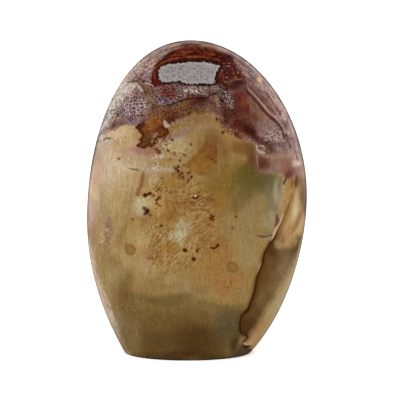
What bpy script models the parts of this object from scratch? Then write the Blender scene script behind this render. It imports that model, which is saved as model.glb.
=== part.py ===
"""A hand-polished jasper freeform: one egg-shaped piece of stone that stands on a sawn and bevelled foot.

Metres, +Z up. The broad face looks along -Y. The origin is under the middle of the stone, on its foot.
"""

import math

import bmesh
import bpy

MM = 0.001

# Overall size of the stone
HEIGHT = 126.0 * MM
HALF_WIDTH = 44.2 * MM
HALF_THICKNESS = 24.2 * MM

# The crown, where every meridian of the stone meets
CROWN_X = -2.4 * MM
CROWN_Y = 2.0 * MM

# Heights at which the stone is broadest to each side
BROADEST_LEFT = 54.0 * MM
BROADEST_RIGHT = 64.0 * MM
BROADEST_FRONT = 46.0 * MM
BROADEST_BACK = 54.0 * MM

# Edges of the sawn foot
FOOT_LEFT = -29.3 * MM
FOOT_RIGHT = 21.6 * MM
FOOT_FRONT = -14.5 * MM
FOOT_BACK = 15.5 * MM
FOOT_BEVEL = 0.6 * MM

# How square a horizontal section is: 2 is an ellipse, and more is a flatter face with fuller corners
SECTION_AT_FOOT = 2.05
SECTION_AT_BELLY = 2.42
SECTION_AT_CROWN = 2.05

# Depth of the broad swells that hand grinding leaves
SWELL = 0.35 * MM

# Fineness of the faceted solid
COLUMNS = 72
ROWS = 32
BEVEL_ROWS = 3
CURVE_STEPS = 240

STONE_COLOUR = (0.36, 0.24, 0.10, 1.0)
STONE_ROUGHNESS = 0.22


def bezier(start, pull_start, pull_end, end, t):
    """The point at t of a cubic Bezier curve in a vertical plane: (distance sideways, height)."""
    s = 1.0 - t
    weights = (s * s * s, 3 * s * s * t, 3 * s * t * t, t * t * t)
    points = (start, pull_start, pull_end, end)
    return tuple(sum(w * p[axis] for w, p in zip(weights, points)) for axis in (0, 1))


def side_outline(foot, foot_pull, broadest, broadest_low, broadest_high, crown, crown_pull):
    """One side of a silhouette, from the foot up to the crown, as a list of (distance sideways, height).

    It is two Bezier curves that meet upright at the broadest point and arrive level at the crown.
    """
    lower = (foot, foot_pull, (broadest[0], broadest_low), broadest)
    upper = (broadest, (broadest[0], broadest_high), (crown_pull, crown[1]), crown)
    points = [bezier(*lower, i / CURVE_STEPS) for i in range(CURVE_STEPS)]
    points += [bezier(*upper, i / CURVE_STEPS) for i in range(CURVE_STEPS + 1)]
    return points


def sideways_at(outline, height):
    """Distance sideways of an outline at a height, by straight lines between its close points."""
    for (x0, z0), (x1, z1) in zip(outline, outline[1:]):
        if z0 <= height <= z1:
            return x0 if z1 == z0 else x0 + (x1 - x0) * (height - z0) / (z1 - z0)
    return outline[-1][0]


# The four silhouettes: the face gives left and right, the edge view gives front and back
LEFT = side_outline(
    foot=(FOOT_LEFT, 0.0),
    foot_pull=(-37.9 * MM, 15.7 * MM),
    broadest=(-HALF_WIDTH, BROADEST_LEFT),
    broadest_low=34.0 * MM,
    broadest_high=90.0 * MM,
    crown=(CROWN_X, HEIGHT),
    crown_pull=-29.8 * MM,
)
RIGHT = side_outline(
    foot=(FOOT_RIGHT, 0.0),
    foot_pull=(35.6 * MM, 15.5 * MM),
    broadest=(HALF_WIDTH, BROADEST_RIGHT),
    broadest_low=42.0 * MM,
    broadest_high=97.0 * MM,
    crown=(CROWN_X, HEIGHT),
    crown_pull=22.4 * MM,
)
FRONT = side_outline(
    foot=(FOOT_FRONT, 0.0),
    foot_pull=(-20.0 * MM, 12.0 * MM),
    broadest=(-HALF_THICKNESS, BROADEST_FRONT),
    broadest_low=28.0 * MM,
    broadest_high=92.0 * MM,
    crown=(CROWN_Y, HEIGHT),
    crown_pull=-12.0 * MM,
)
BACK = side_outline(
    foot=(FOOT_BACK, 0.0),
    foot_pull=(20.5 * MM, 13.0 * MM),
    broadest=(HALF_THICKNESS, BROADEST_BACK),
    broadest_low=34.0 * MM,
    broadest_high=98.0 * MM,
    crown=(CROWN_Y, HEIGHT),
    crown_pull=15.0 * MM,
)


def section_power(height):
    """How square the section is at a height: squarest at the belly, near elliptical at foot and crown."""
    share = height / HEIGHT
    belly = math.sin(math.pi * share) ** 0.8
    ends = SECTION_AT_FOOT + (SECTION_AT_CROWN - SECTION_AT_FOOT) * share
    return ends + (SECTION_AT_BELLY - ends) * belly


def swell(angle, height):
    """Broad, shallow highs and lows round the stone, which die out at the foot and at the crown."""
    share = height / HEIGHT
    fade = math.sin(math.pi * share) ** 1.5
    turn = 2.2 * share
    return -SWELL * fade * (0.6 + 0.4 * math.sin(3 * angle + 1.1 + turn) - 0.3 * math.cos(5 * angle - turn))


def ring(height, inset=0.0):
    """The stone's horizontal section at a height, drawn in by inset, as points in order round +Z."""
    left, right = sideways_at(LEFT, height), sideways_at(RIGHT, height)
    front, back = sideways_at(FRONT, height), sideways_at(BACK, height)
    centre_x, half_x = (left + right) / 2, (right - left) / 2 - inset
    centre_y, half_y = (front + back) / 2, (back - front) / 2 - inset
    power = section_power(height)
    points = []
    for i in range(COLUMNS):
        angle = 2 * math.pi * i / COLUMNS
        c, s = math.cos(angle), math.sin(angle)
        x = half_x * math.copysign(abs(c) ** (2 / power), c)
        y = half_y * math.copysign(abs(s) ** (2 / power), s)
        reach = math.hypot(x, y)
        share = (reach + swell(angle, height)) / reach
        points.append((centre_x + x * share, centre_y + y * share, height))
    return points


def row_heights():
    """Heights of the rings above the bevel, closer together towards the crown, where the stone rounds over."""
    return [HEIGHT * math.sin(math.pi / 2 * i / ROWS) for i in range(1, ROWS)]


def foot_rings():
    """The quarter-round bevel between the flat foot and the sides."""
    rings = []
    for i in range(BEVEL_ROWS + 1):
        turn = math.pi / 2 * i / BEVEL_ROWS
        rings.append(ring(FOOT_BEVEL * (1 - math.cos(turn)), inset=FOOT_BEVEL * (1 - math.sin(turn))))
    return rings


def stone_material():
    """Polished jasper, mostly olive and honey brown."""
    material = bpy.data.materials.new("polished_jasper")
    material.use_nodes = True
    shader = material.node_tree.nodes["Principled BSDF"]
    shader.inputs["Base Color"].default_value = STONE_COLOUR
    shader.inputs["Roughness"].default_value = STONE_ROUGHNESS
    shader.inputs["Metallic"].default_value = 0.0
    return material


def build_stone():
    """The whole stone as one closed body: a flat foot, the bevel, the rings of the egg, and the crown."""
    mesh = bmesh.new()
    rings = foot_rings() + [ring(h) for h in row_heights()]
    rows = [[mesh.verts.new(p) for p in points] for points in rings]
    for low, high in zip(rows, rows[1:]):
        for i in range(COLUMNS):
            j = (i + 1) % COLUMNS
            mesh.faces.new((low[i], low[j], high[j], high[i]))
    mesh.faces.new(list(reversed(rows[0])))
    crown = mesh.verts.new((CROWN_X, CROWN_Y, HEIGHT))
    for i in range(COLUMNS):
        mesh.faces.new((rows[-1][i], rows[-1][(i + 1) % COLUMNS], crown))
    data = bpy.data.meshes.new("jasper_stone")
    mesh.to_mesh(data)
    mesh.free()
    data.materials.append(stone_material())
    stone = bpy.data.objects.new("jasper_stone", data)
    bpy.context.scene.collection.objects.link(stone)
    data.shade_smooth()
    data.set_sharp_from_angle(angle=math.radians(50))
    return stone


for old in list(bpy.data.objects):
    bpy.data.objects.remove(old)
build_stone()
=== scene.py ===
"""The looks of a jasper freeform: one polished stone, its bands, speckles, veins and pits, and its gloss.

The stone is worked out in millimetres and goes into its mesh in metres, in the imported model's own frame.
"""

import bpy
import numpy as np
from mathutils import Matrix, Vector


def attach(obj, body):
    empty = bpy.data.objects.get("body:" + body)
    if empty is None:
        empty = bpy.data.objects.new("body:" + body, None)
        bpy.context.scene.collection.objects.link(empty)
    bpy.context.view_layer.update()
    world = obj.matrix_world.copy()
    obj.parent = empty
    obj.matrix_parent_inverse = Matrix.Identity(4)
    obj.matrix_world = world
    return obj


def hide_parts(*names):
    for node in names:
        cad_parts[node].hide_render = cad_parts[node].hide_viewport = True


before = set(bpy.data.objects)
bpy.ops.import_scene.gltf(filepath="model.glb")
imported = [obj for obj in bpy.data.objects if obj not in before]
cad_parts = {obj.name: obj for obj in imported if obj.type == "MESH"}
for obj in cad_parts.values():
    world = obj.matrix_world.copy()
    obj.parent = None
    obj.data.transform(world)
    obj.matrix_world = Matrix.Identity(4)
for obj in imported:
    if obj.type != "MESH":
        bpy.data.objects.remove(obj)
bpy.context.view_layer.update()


# The stone is one lump of jasper, ground by hand to a flattened egg and polished all over. It stands on a
# sawn foot with a small bevel. Its skin is a stack of level sections, each a rather square ellipse.
MM = 0.001
HEIGHT = 126.0
CROWN = (-2.4, 2.0)
FOOT_MIDDLE = (-4.0, 0.5)
FOOT_BEVEL = 0.6
END_POWER = 2.05
BELLY_POWER_GAIN = 0.37
SWELL = 0.35
COLUMNS = 384
ROWS = 250
BEVEL_ROWS = 4
FOOT_ROWS = 5


def bezier(start, pull_start, pull_end, end):
    """A cubic Bezier curve: its four points weigh in by the terms of (s + t) cubed, where s is 1 - t."""
    t = np.linspace(0, 1, 241)[:, None]
    s = 1 - t
    a, b, c, d = (np.array(point, float) for point in (start, pull_start, pull_end, end))
    return s**3 * a + 3 * s * s * t * b + 3 * s * t * t * c + t**3 * d


def silhouette(foot, foot_pull, broadest, low_pull, high_pull, crown, crown_pull):
    """One side of the stone, foot to crown, as (sideways, height): two Bezier curves that meet upright."""
    lower = bezier((foot, 0), foot_pull, (broadest[0], low_pull), broadest)
    upper = bezier(broadest, (broadest[0], high_pull), (crown_pull, HEIGHT), (crown, HEIGHT))
    return np.vstack([lower, upper[1:]])


LEFT = silhouette(-29.3, (-37.9, 15.7), (-44.2, 54), 34, 90, CROWN[0], -29.8)
RIGHT = silhouette(21.6, (35.6, 15.5), (44.2, 64), 42, 97, CROWN[0], 22.4)
FRONT = silhouette(-14.5, (-20, 12), (-24.2, 46), 28, 92, CROWN[1], -12)
BACK = silhouette(15.5, (20.5, 13), (24.2, 54), 34, 98, CROWN[1], 15)


def sideways(side, height):
    """How far out a silhouette is at a height, by straight lines between its close points."""
    return np.interp(height, side[:, 1], side[:, 0])


def skin(angle, height, inset=0.0):
    """Points of the skin at an angle round the upright axis and a height.

    x is the middle plus the half width times |cos| to the power 2/p, and y the same with the half depth and
    sin, where p is END_POWER at foot and crown and gains most at the belly. The reach from the middle is then
    drawn in by SWELL times 0.6 plus a sine of 3 angles less a cosine of 5, dying out at foot and crown.
    """
    left, right, front, back = (sideways(side, height) for side in (LEFT, RIGHT, FRONT, BACK))
    share = height / HEIGHT
    power = END_POWER + BELLY_POWER_GAIN * np.sin(np.pi * share) ** 0.8
    c, s = np.cos(angle), np.sin(angle)
    x = ((right - left) / 2 - inset) * np.sign(c) * np.abs(c) ** (2 / power)
    y = ((back - front) / 2 - inset) * np.sign(s) * np.abs(s) ** (2 / power)
    turn = 2.2 * share
    swell = 0.6 + 0.4 * np.sin(3 * angle + 1.1 + turn) - 0.3 * np.cos(5 * angle - turn)
    grow = 1 - SWELL * np.sin(np.pi * share) ** 1.5 * swell / np.hypot(x, y)
    return np.stack([(left + right) / 2 + x * grow, (front + back) / 2 + y * grow, height + 0 * angle], -1)


def stone_rings():
    """All rings of the skin, from the middle of the foot up to the crown, as rows of COLUMNS points.

    The angle is t + 0.15 sin 2t - 0.2 cos t of an even t, which sets the columns closest on the broad face.
    The rows are evenly spaced along the right silhouette. The bevel is a quarter round on a flat foot.
    """
    t = np.linspace(-np.pi, np.pi, COLUMNS, endpoint=False)[None, :]
    angle = t + 0.15 * np.sin(2 * t) - 0.2 * np.cos(t)
    run = np.append(0, np.cumsum(np.hypot(*np.diff(RIGHT, axis=0).T)))
    heights = np.interp(np.linspace(0, run[-1], ROWS + 1), run, RIGHT[:, 1])[1:-1]
    heights = heights[heights > 1.5 * FOOT_BEVEL]
    turns = np.linspace(0, np.pi / 2, BEVEL_ROWS)[:, None]
    bevel = skin(angle, FOOT_BEVEL * (1 - np.cos(turns)), FOOT_BEVEL * (1 - np.sin(turns)))
    middle = np.array([*FOOT_MIDDLE, 0.0])
    foot = middle + (bevel[0] - middle) * np.linspace(0.2, 0.95, FOOT_ROWS)[:, None, None]
    return np.concatenate([foot, bevel, skin(angle, heights[:, None])])


rings = stone_rings()
points = np.vstack([rings.reshape(-1, 3), (*FOOT_MIDDLE, 0.0), (*CROWN, HEIGHT)])
ids = np.arange(len(points) - 2).reshape(-1, COLUMNS)
beside = np.roll(ids, -1, axis=1)
quads = np.stack([ids[:-1], beside[:-1], beside[1:], ids[1:]], -1).reshape(-1, 4)
foot_pole, crown_pole = np.full((2, COLUMNS), [[len(points) - 2], [len(points) - 1]])
foot_fan = np.stack([foot_pole, beside[0], ids[0]], -1)
crown_fan = np.stack([ids[-1], beside[-1], crown_pole], -1)
mesh = bpy.data.meshes.new("polished_stone")
mesh.from_pydata((points * MM).tolist(), [], quads.tolist() + foot_fan.tolist() + crown_fan.tolist())
mesh.shade_smooth()
stone = bpy.data.objects.new("polished_stone", mesh)
bpy.context.scene.collection.objects.link(stone)
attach(stone, "root")
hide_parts("jasper_stone")


# The markings are laid out in millimetres on a sheet that hangs square to the line of sight: across to the
# right and up from the foot. Each point of the skin gets the place where the eye sees it on that sheet, and
# each mark is a distance from its outline, worked out up to REACH away.
EYE_ELEVATION = np.radians(9.0)
EYE_DISTANCE = 660.0
EYE_AIM = np.array([1.2, 0.0, 62.4])
SHEET_UP_AT_AIM = 61.6
REACH = 7.0

ahead = np.array([0.0, np.cos(EYE_ELEVATION), -np.sin(EYE_ELEVATION)])
overhead = np.array([0.0, np.sin(EYE_ELEVATION), np.cos(EYE_ELEVATION)])
from_eye = points - (EYE_AIM - EYE_DISTANCE * ahead)
nearness = EYE_DISTANCE / (from_eye @ ahead)
across = EYE_AIM[0] + nearness * (points[:, 0] - EYE_AIM[0])
up = SHEET_UP_AT_AIM + nearness * (from_eye @ overhead)
behind = points[:, 1] - (sideways(FRONT, points[:, 2]) + sideways(BACK, points[:, 2])) / 2
depth = behind.clip(0)
slant = 0.42 * depth + 0.16 * depth * np.sin(across / 11 + 0.8)
# FACE is for marks that close a little way round the side, DEEP for beds that run through the stone and dip
# towards the back, and REAR for marks of the back, seen from behind.
FACE = (across, up, depth)
DEEP = (across + 0.2 * depth * np.sin(up / 23), up + slant, 0 * depth)
REAR = (-points[:, 0], points[:, 2], (-behind).clip(0))


def drawn(places, closed=True):
    """A smooth line through given places: a Catmull-Rom cubic between each two, in 6 steps."""
    spots = np.array(places, float)
    if closed:
        spots = np.vstack([spots[-1:], spots, spots[:2]])
    else:
        spots = np.vstack([2 * spots[0] - spots[1], spots, 2 * spots[-1] - spots[-2]])
    a, b, c, d = spots[:-3], spots[1:-2], spots[2:-1], spots[3:]
    t = np.linspace(0, 1, 6, endpoint=False)[:, None, None]
    curve = 2 * b + (c - a) * t + (2 * a - 5 * b + 4 * c - d) * t**2 + (3 * b - a - 3 * c + d) * t**3
    curve = curve.transpose(1, 0, 2).reshape(-1, 2) / 2
    return curve if closed else np.vstack([curve, spots[-2]])


def keep(name, values):
    """Stores a value or a vector at each point of the stone, and returns the shader socket that reads it."""
    kind = "FLOAT" if values.ndim == 1 else "FLOAT_VECTOR"
    stored = mesh.attributes.new(name, kind, "POINT")
    stored.data.foreach_set("value" if values.ndim == 1 else "vector", values.astype(np.float32).ravel())
    reader = nodes.new("ShaderNodeAttribute")
    reader.attribute_name = name
    return reader.outputs["Fac" if values.ndim == 1 else "Color"]


def patch(name, *outlines, on=FACE):
    """Distance in mm to the nearest of some closed outlines, below nothing inside them.

    A point is inside where a level ray from it crosses the outline an odd number of times. What the sheet
    says is hidden adds half its depth, so a mark on the face closes a little way round the side.
    """
    sheet_across, sheet_up, hidden = on
    nearest = np.full(len(points), REACH)
    for places in outlines:
        rim = drawn(places)
        low, high = rim.min(0) - REACH, rim.max(0) + REACH
        near = (sheet_across > low[0]) & (sheet_across < high[0]) & (sheet_up > low[1]) & (sheet_up < high[1])
        x, y = sheet_across[near], sheet_up[near]
        away = np.full(x.shape, np.inf)
        inside = np.zeros(x.shape, bool)
        for (x0, y0), (x1, y1) in zip(rim, np.roll(rim, -1, axis=0)):
            run, rise = x1 - x0, y1 - y0
            t = (((x - x0) * run + (y - y0) * rise) / (run * run + rise * rise)).clip(0, 1)
            away = np.minimum(away, np.hypot(x - x0 - t * run, y - y0 - t * rise))
            if rise:
                inside ^= ((y0 > y) != (y1 > y)) & (x < x0 + (y - y0) * run / rise)
        nearest[near] = np.minimum(nearest[near], np.where(inside, -away, away))
    return keep(name, (nearest + 0.5 * hidden).clip(-REACH, REACH))


def line(name, *routes, on=FACE):
    """For the nearest of some open lines: mm to its side, the share of its length reached, and mm away.

    The side is signed, so that it passes through nothing on the line itself. Past an end it is measured from
    the line run on, while the distance away is measured from the end.
    """
    sheet_across, sheet_up, hidden = on
    found = np.tile([REACH, 0.5, REACH], (len(points), 1))
    for route in routes:
        path = drawn(route, closed=False)
        low, high = path.min(0) - REACH, path.max(0) + REACH
        near = (sheet_across > low[0]) & (sheet_across < high[0]) & (sheet_up > low[1]) & (sheet_up < high[1])
        x, y = sheet_across[near], sheet_up[near]
        best = found[near]
        last = len(path) - 2
        for i, ((x0, y0), (x1, y1)) in enumerate(zip(path, path[1:])):
            run, rise = x1 - x0, y1 - y0
            long = np.hypot(run, rise)
            t = ((x - x0) * run + (y - y0) * rise) / long**2
            held = t.clip(0, 1)
            away = np.hypot(x - x0 - held * run, y - y0 - held * rise)
            side = ((x - x0) * rise - (y - y0) * run) / long
            past = ((t < 0) & (i == 0)) | ((t > 1) & (i == last))
            side = np.where(past, side, np.sign(side) * away)
            closer = away < best[:, 2]
            best = np.where(closer[:, None], np.stack([side, (i + held) / (last + 1), away], -1), best)
        found[near] = best
    found[:, 2] += 0.5 * hidden
    return keep(name, found)


def dots(name, *spots, on=FACE):
    """Distance in mm to the rim of the nearest of some round spots, each given as (across, up, radius)."""
    sheet_across, sheet_up, hidden = on
    nearest = np.full(len(points), REACH)
    for spot_across, spot_up, radius in spots:
        nearest = np.minimum(nearest, np.hypot(sheet_across - spot_across, sheet_up - spot_up) - radius)
    return keep(name, nearest + 0.5 * hidden)


# The polish shows the jasper's own colours, with painted highlights, reflections and shade in a few marked
# places. The shader lays one colour over another, from the ground up, each where its distance says, with
# edges frayed by noise. Colours are as seen on the lit stone. Each node is made after those that feed it, so
# that the renderer holds little at one time.
jasper = bpy.data.materials.new("polished_jasper")
jasper.use_nodes = True
nodes, links = jasper.node_tree.nodes, jasper.node_tree.links
shader = nodes["Principled BSDF"]
place = nodes.new("ShaderNodeTexCoord").outputs["Object"]
mesh.materials.append(jasper)


def paint(red, green, blue):
    """A colour from 0 to 255 as light: ((c + 0.055) / 1.055) to the power 2.4, or c / 12.92 when dark."""
    c = np.array([red, green, blue]) / 255
    return (*np.where(c > 0.04045, ((c + 0.055) / 1.055) ** 2.4, c / 12.92), 1.0)


def feed(socket, value):
    """Links another node's socket to this one, or sets it to a plain number or colour."""
    if isinstance(value, bpy.types.NodeSocket):
        links.new(value, socket)
    else:
        socket.default_value = value


def maths(kind, *terms):
    """A sum on numbers, such as MULTIPLY_ADD of three terms."""
    made = nodes.new("ShaderNodeMath")
    made.operation = kind
    for socket, term in zip(made.inputs, terms):
        feed(socket, term)
    return made.outputs[0]


def over(under, upper, share, kind="MIX"):
    """One colour laid over another by a share from 0 to 1, plainly or by another kind, such as MULTIPLY."""
    made = nodes.new("ShaderNodeMix")
    made.data_type = "RGBA"
    made.blend_type = kind
    feed(made.inputs[0], share)
    feed(made.inputs[6], under)
    feed(made.inputs[7], upper)
    return made.outputs[2]


def noise(size, detail=2.0, rough=0.5, twist=0.0, stretch=(1, 1, 1), tilt=0.0):
    """Cloudy noise about 0.5 with lumps of a size in mm, which can be drawn out along a tilted direction."""
    turned = nodes.new("ShaderNodeMapping")
    turned.vector_type = "TEXTURE"
    turned.inputs["Rotation"].default_value = (0, np.radians(tilt), 0)
    turned.inputs["Scale"].default_value = stretch
    links.new(place, turned.inputs["Vector"])
    made = nodes.new("ShaderNodeTexNoise")
    made.inputs["Scale"].default_value = 1 / (size * MM)
    made.inputs["Detail"].default_value = detail
    made.inputs["Roughness"].default_value = rough
    made.inputs["Distortion"].default_value = twist
    links.new(turned.outputs[0], made.inputs["Vector"])
    return made.outputs[0]


def swing(value, size):
    """Noise, mostly within a third of 0.5, turned into a push of up to about a size either way."""
    return maths("MULTIPLY", maths("SUBTRACT", value, 0.5), 3 * size)


def step(value, low, high, most=1.0):
    """A smooth step from 0 at low to most at high, which may lie below low."""
    made = nodes.new("ShaderNodeMapRange")
    made.interpolation_type = "SMOOTHSTEP"
    feed(made.inputs["Value"], value)
    made.inputs["From Min"].default_value = low
    made.inputs["From Max"].default_value = high
    made.inputs["To Max"].default_value = most
    return made.outputs[0]


def stained(value, *stops):
    """Colours in a row along a value, each stop given as (value, colour)."""
    made = nodes.new("ShaderNodeValToRGB")
    ramp = made.color_ramp
    while len(ramp.elements) < len(stops):
        ramp.elements.new(0.5)
    for element, (position, colour) in zip(ramp.elements, stops):
        element.position = position
        element.color = colour
    feed(made.inputs[0], value)
    return made.outputs[0]


WANDER = swing(noise(9.0, 2), 1.0)
FRAY = swing(noise(2.2, 3, 0.6), 1.0)
GRIT = noise(1.15, 3, 0.7)
CLOUD = noise(14.0, 3)
MOTTLE = noise(3.2, 4, 0.6, 0.6)
SPECK = noise(0.58, 2, 0.55)


def cover(distance, edge, grow=0.0, wander=0.0, fray=0.0, most=1.0):
    """The share of a colour inside a mark: 1 well inside, 0 well outside, by a smooth step as wide as edge.

    The mark first grows by a distance, and its rim is pushed in and out by coarse and by fine noise.
    """
    if wander:
        distance = maths("MULTIPLY_ADD", WANDER, wander, distance)
    if fray:
        distance = maths("MULTIPLY_ADD", FRAY, fray, distance)
    return step(distance, grow + edge / 2, grow - edge / 2, most)


def along(route, width, edge=0.3, fray=0.0, most=1.0, taper=True):
    """The share of a colour on a line: 1 on it, 0 past half its width, ending in points where taper is on."""
    apart = nodes.new("ShaderNodeSeparateColor")
    links.new(route, apart.inputs[0])
    side, share, away = apart.outputs
    distance = maths("MAXIMUM", maths("ABSOLUTE", side), maths("SUBTRACT", away, 0.3))
    half = width / 2
    if taper:
        both = maths("MULTIPLY", maths("MULTIPLY", share, maths("SUBTRACT", 1.0, share)), 4.0)
        half = maths("MULTIPLY", maths("POWER", both, 0.5), half)
    distance = maths("SUBTRACT", distance, half)
    return cover(distance, edge, fray=fray, most=most)


def grained(colour, value, low, high, strength=1.0):
    """A colour made darker where noise is low and lighter where it is high, by two factors as colours."""
    factor = stained(value, (0.34, (*low, 1)), (0.5, (1, 1, 1, 1)), (0.66, (*high, 1)))
    return over(colour, factor, strength, "MULTIPLY")


def motley(colour, size, push, share=1.0):
    """A colour in grains of a size in mm, whose red, green and blue are each pushed up or down at random."""
    made = nodes.new("ShaderNodeTexNoise")
    made.inputs["Scale"].default_value = 1 / (size * MM)
    made.inputs["Detail"].default_value = 1.0
    links.new(place, made.inputs["Vector"])
    push_colour = over((0.5, 0.5, 0.5, 1), made.outputs["Color"], push)
    return over(colour, push_colour, share, "OVERLAY")


def peppered(colour, grains, value, share, most=0.8):
    """A colour strewn with grains of another where noise runs high, more thickly where a share nears 1."""
    level = maths("MULTIPLY_ADD", share, 0.3, value)
    return over(colour, grains, step(level, 0.8, 0.86, most))


# The body of the stone is honey and olive jasper, tan to the upper left and earth brown at the foot, where
# the brown is partly painted shade. Its soft clouds are washes of colour, each an oval that fades out, worked
# out point by point.
TAN = paint(200, 174, 140)
BUFF = paint(190, 165, 122)
STRAW = paint(176, 149, 102)
HONEY = paint(158, 126, 76)
OCHRE = paint(148, 105, 53)
AMBER = paint(128, 82, 30)
OLIVE = paint(130, 107, 57)
GREY_GREEN = paint(132, 120, 87)
ROSE = paint(184, 142, 124)
UMBER = paint(112, 86, 46)
EARTH_AND_SHADE = paint(92, 67, 34)
DARK_EARTH_AND_SHADE = paint(80, 56, 25)
SLATE_GREEN = paint(90, 80, 54)

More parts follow.
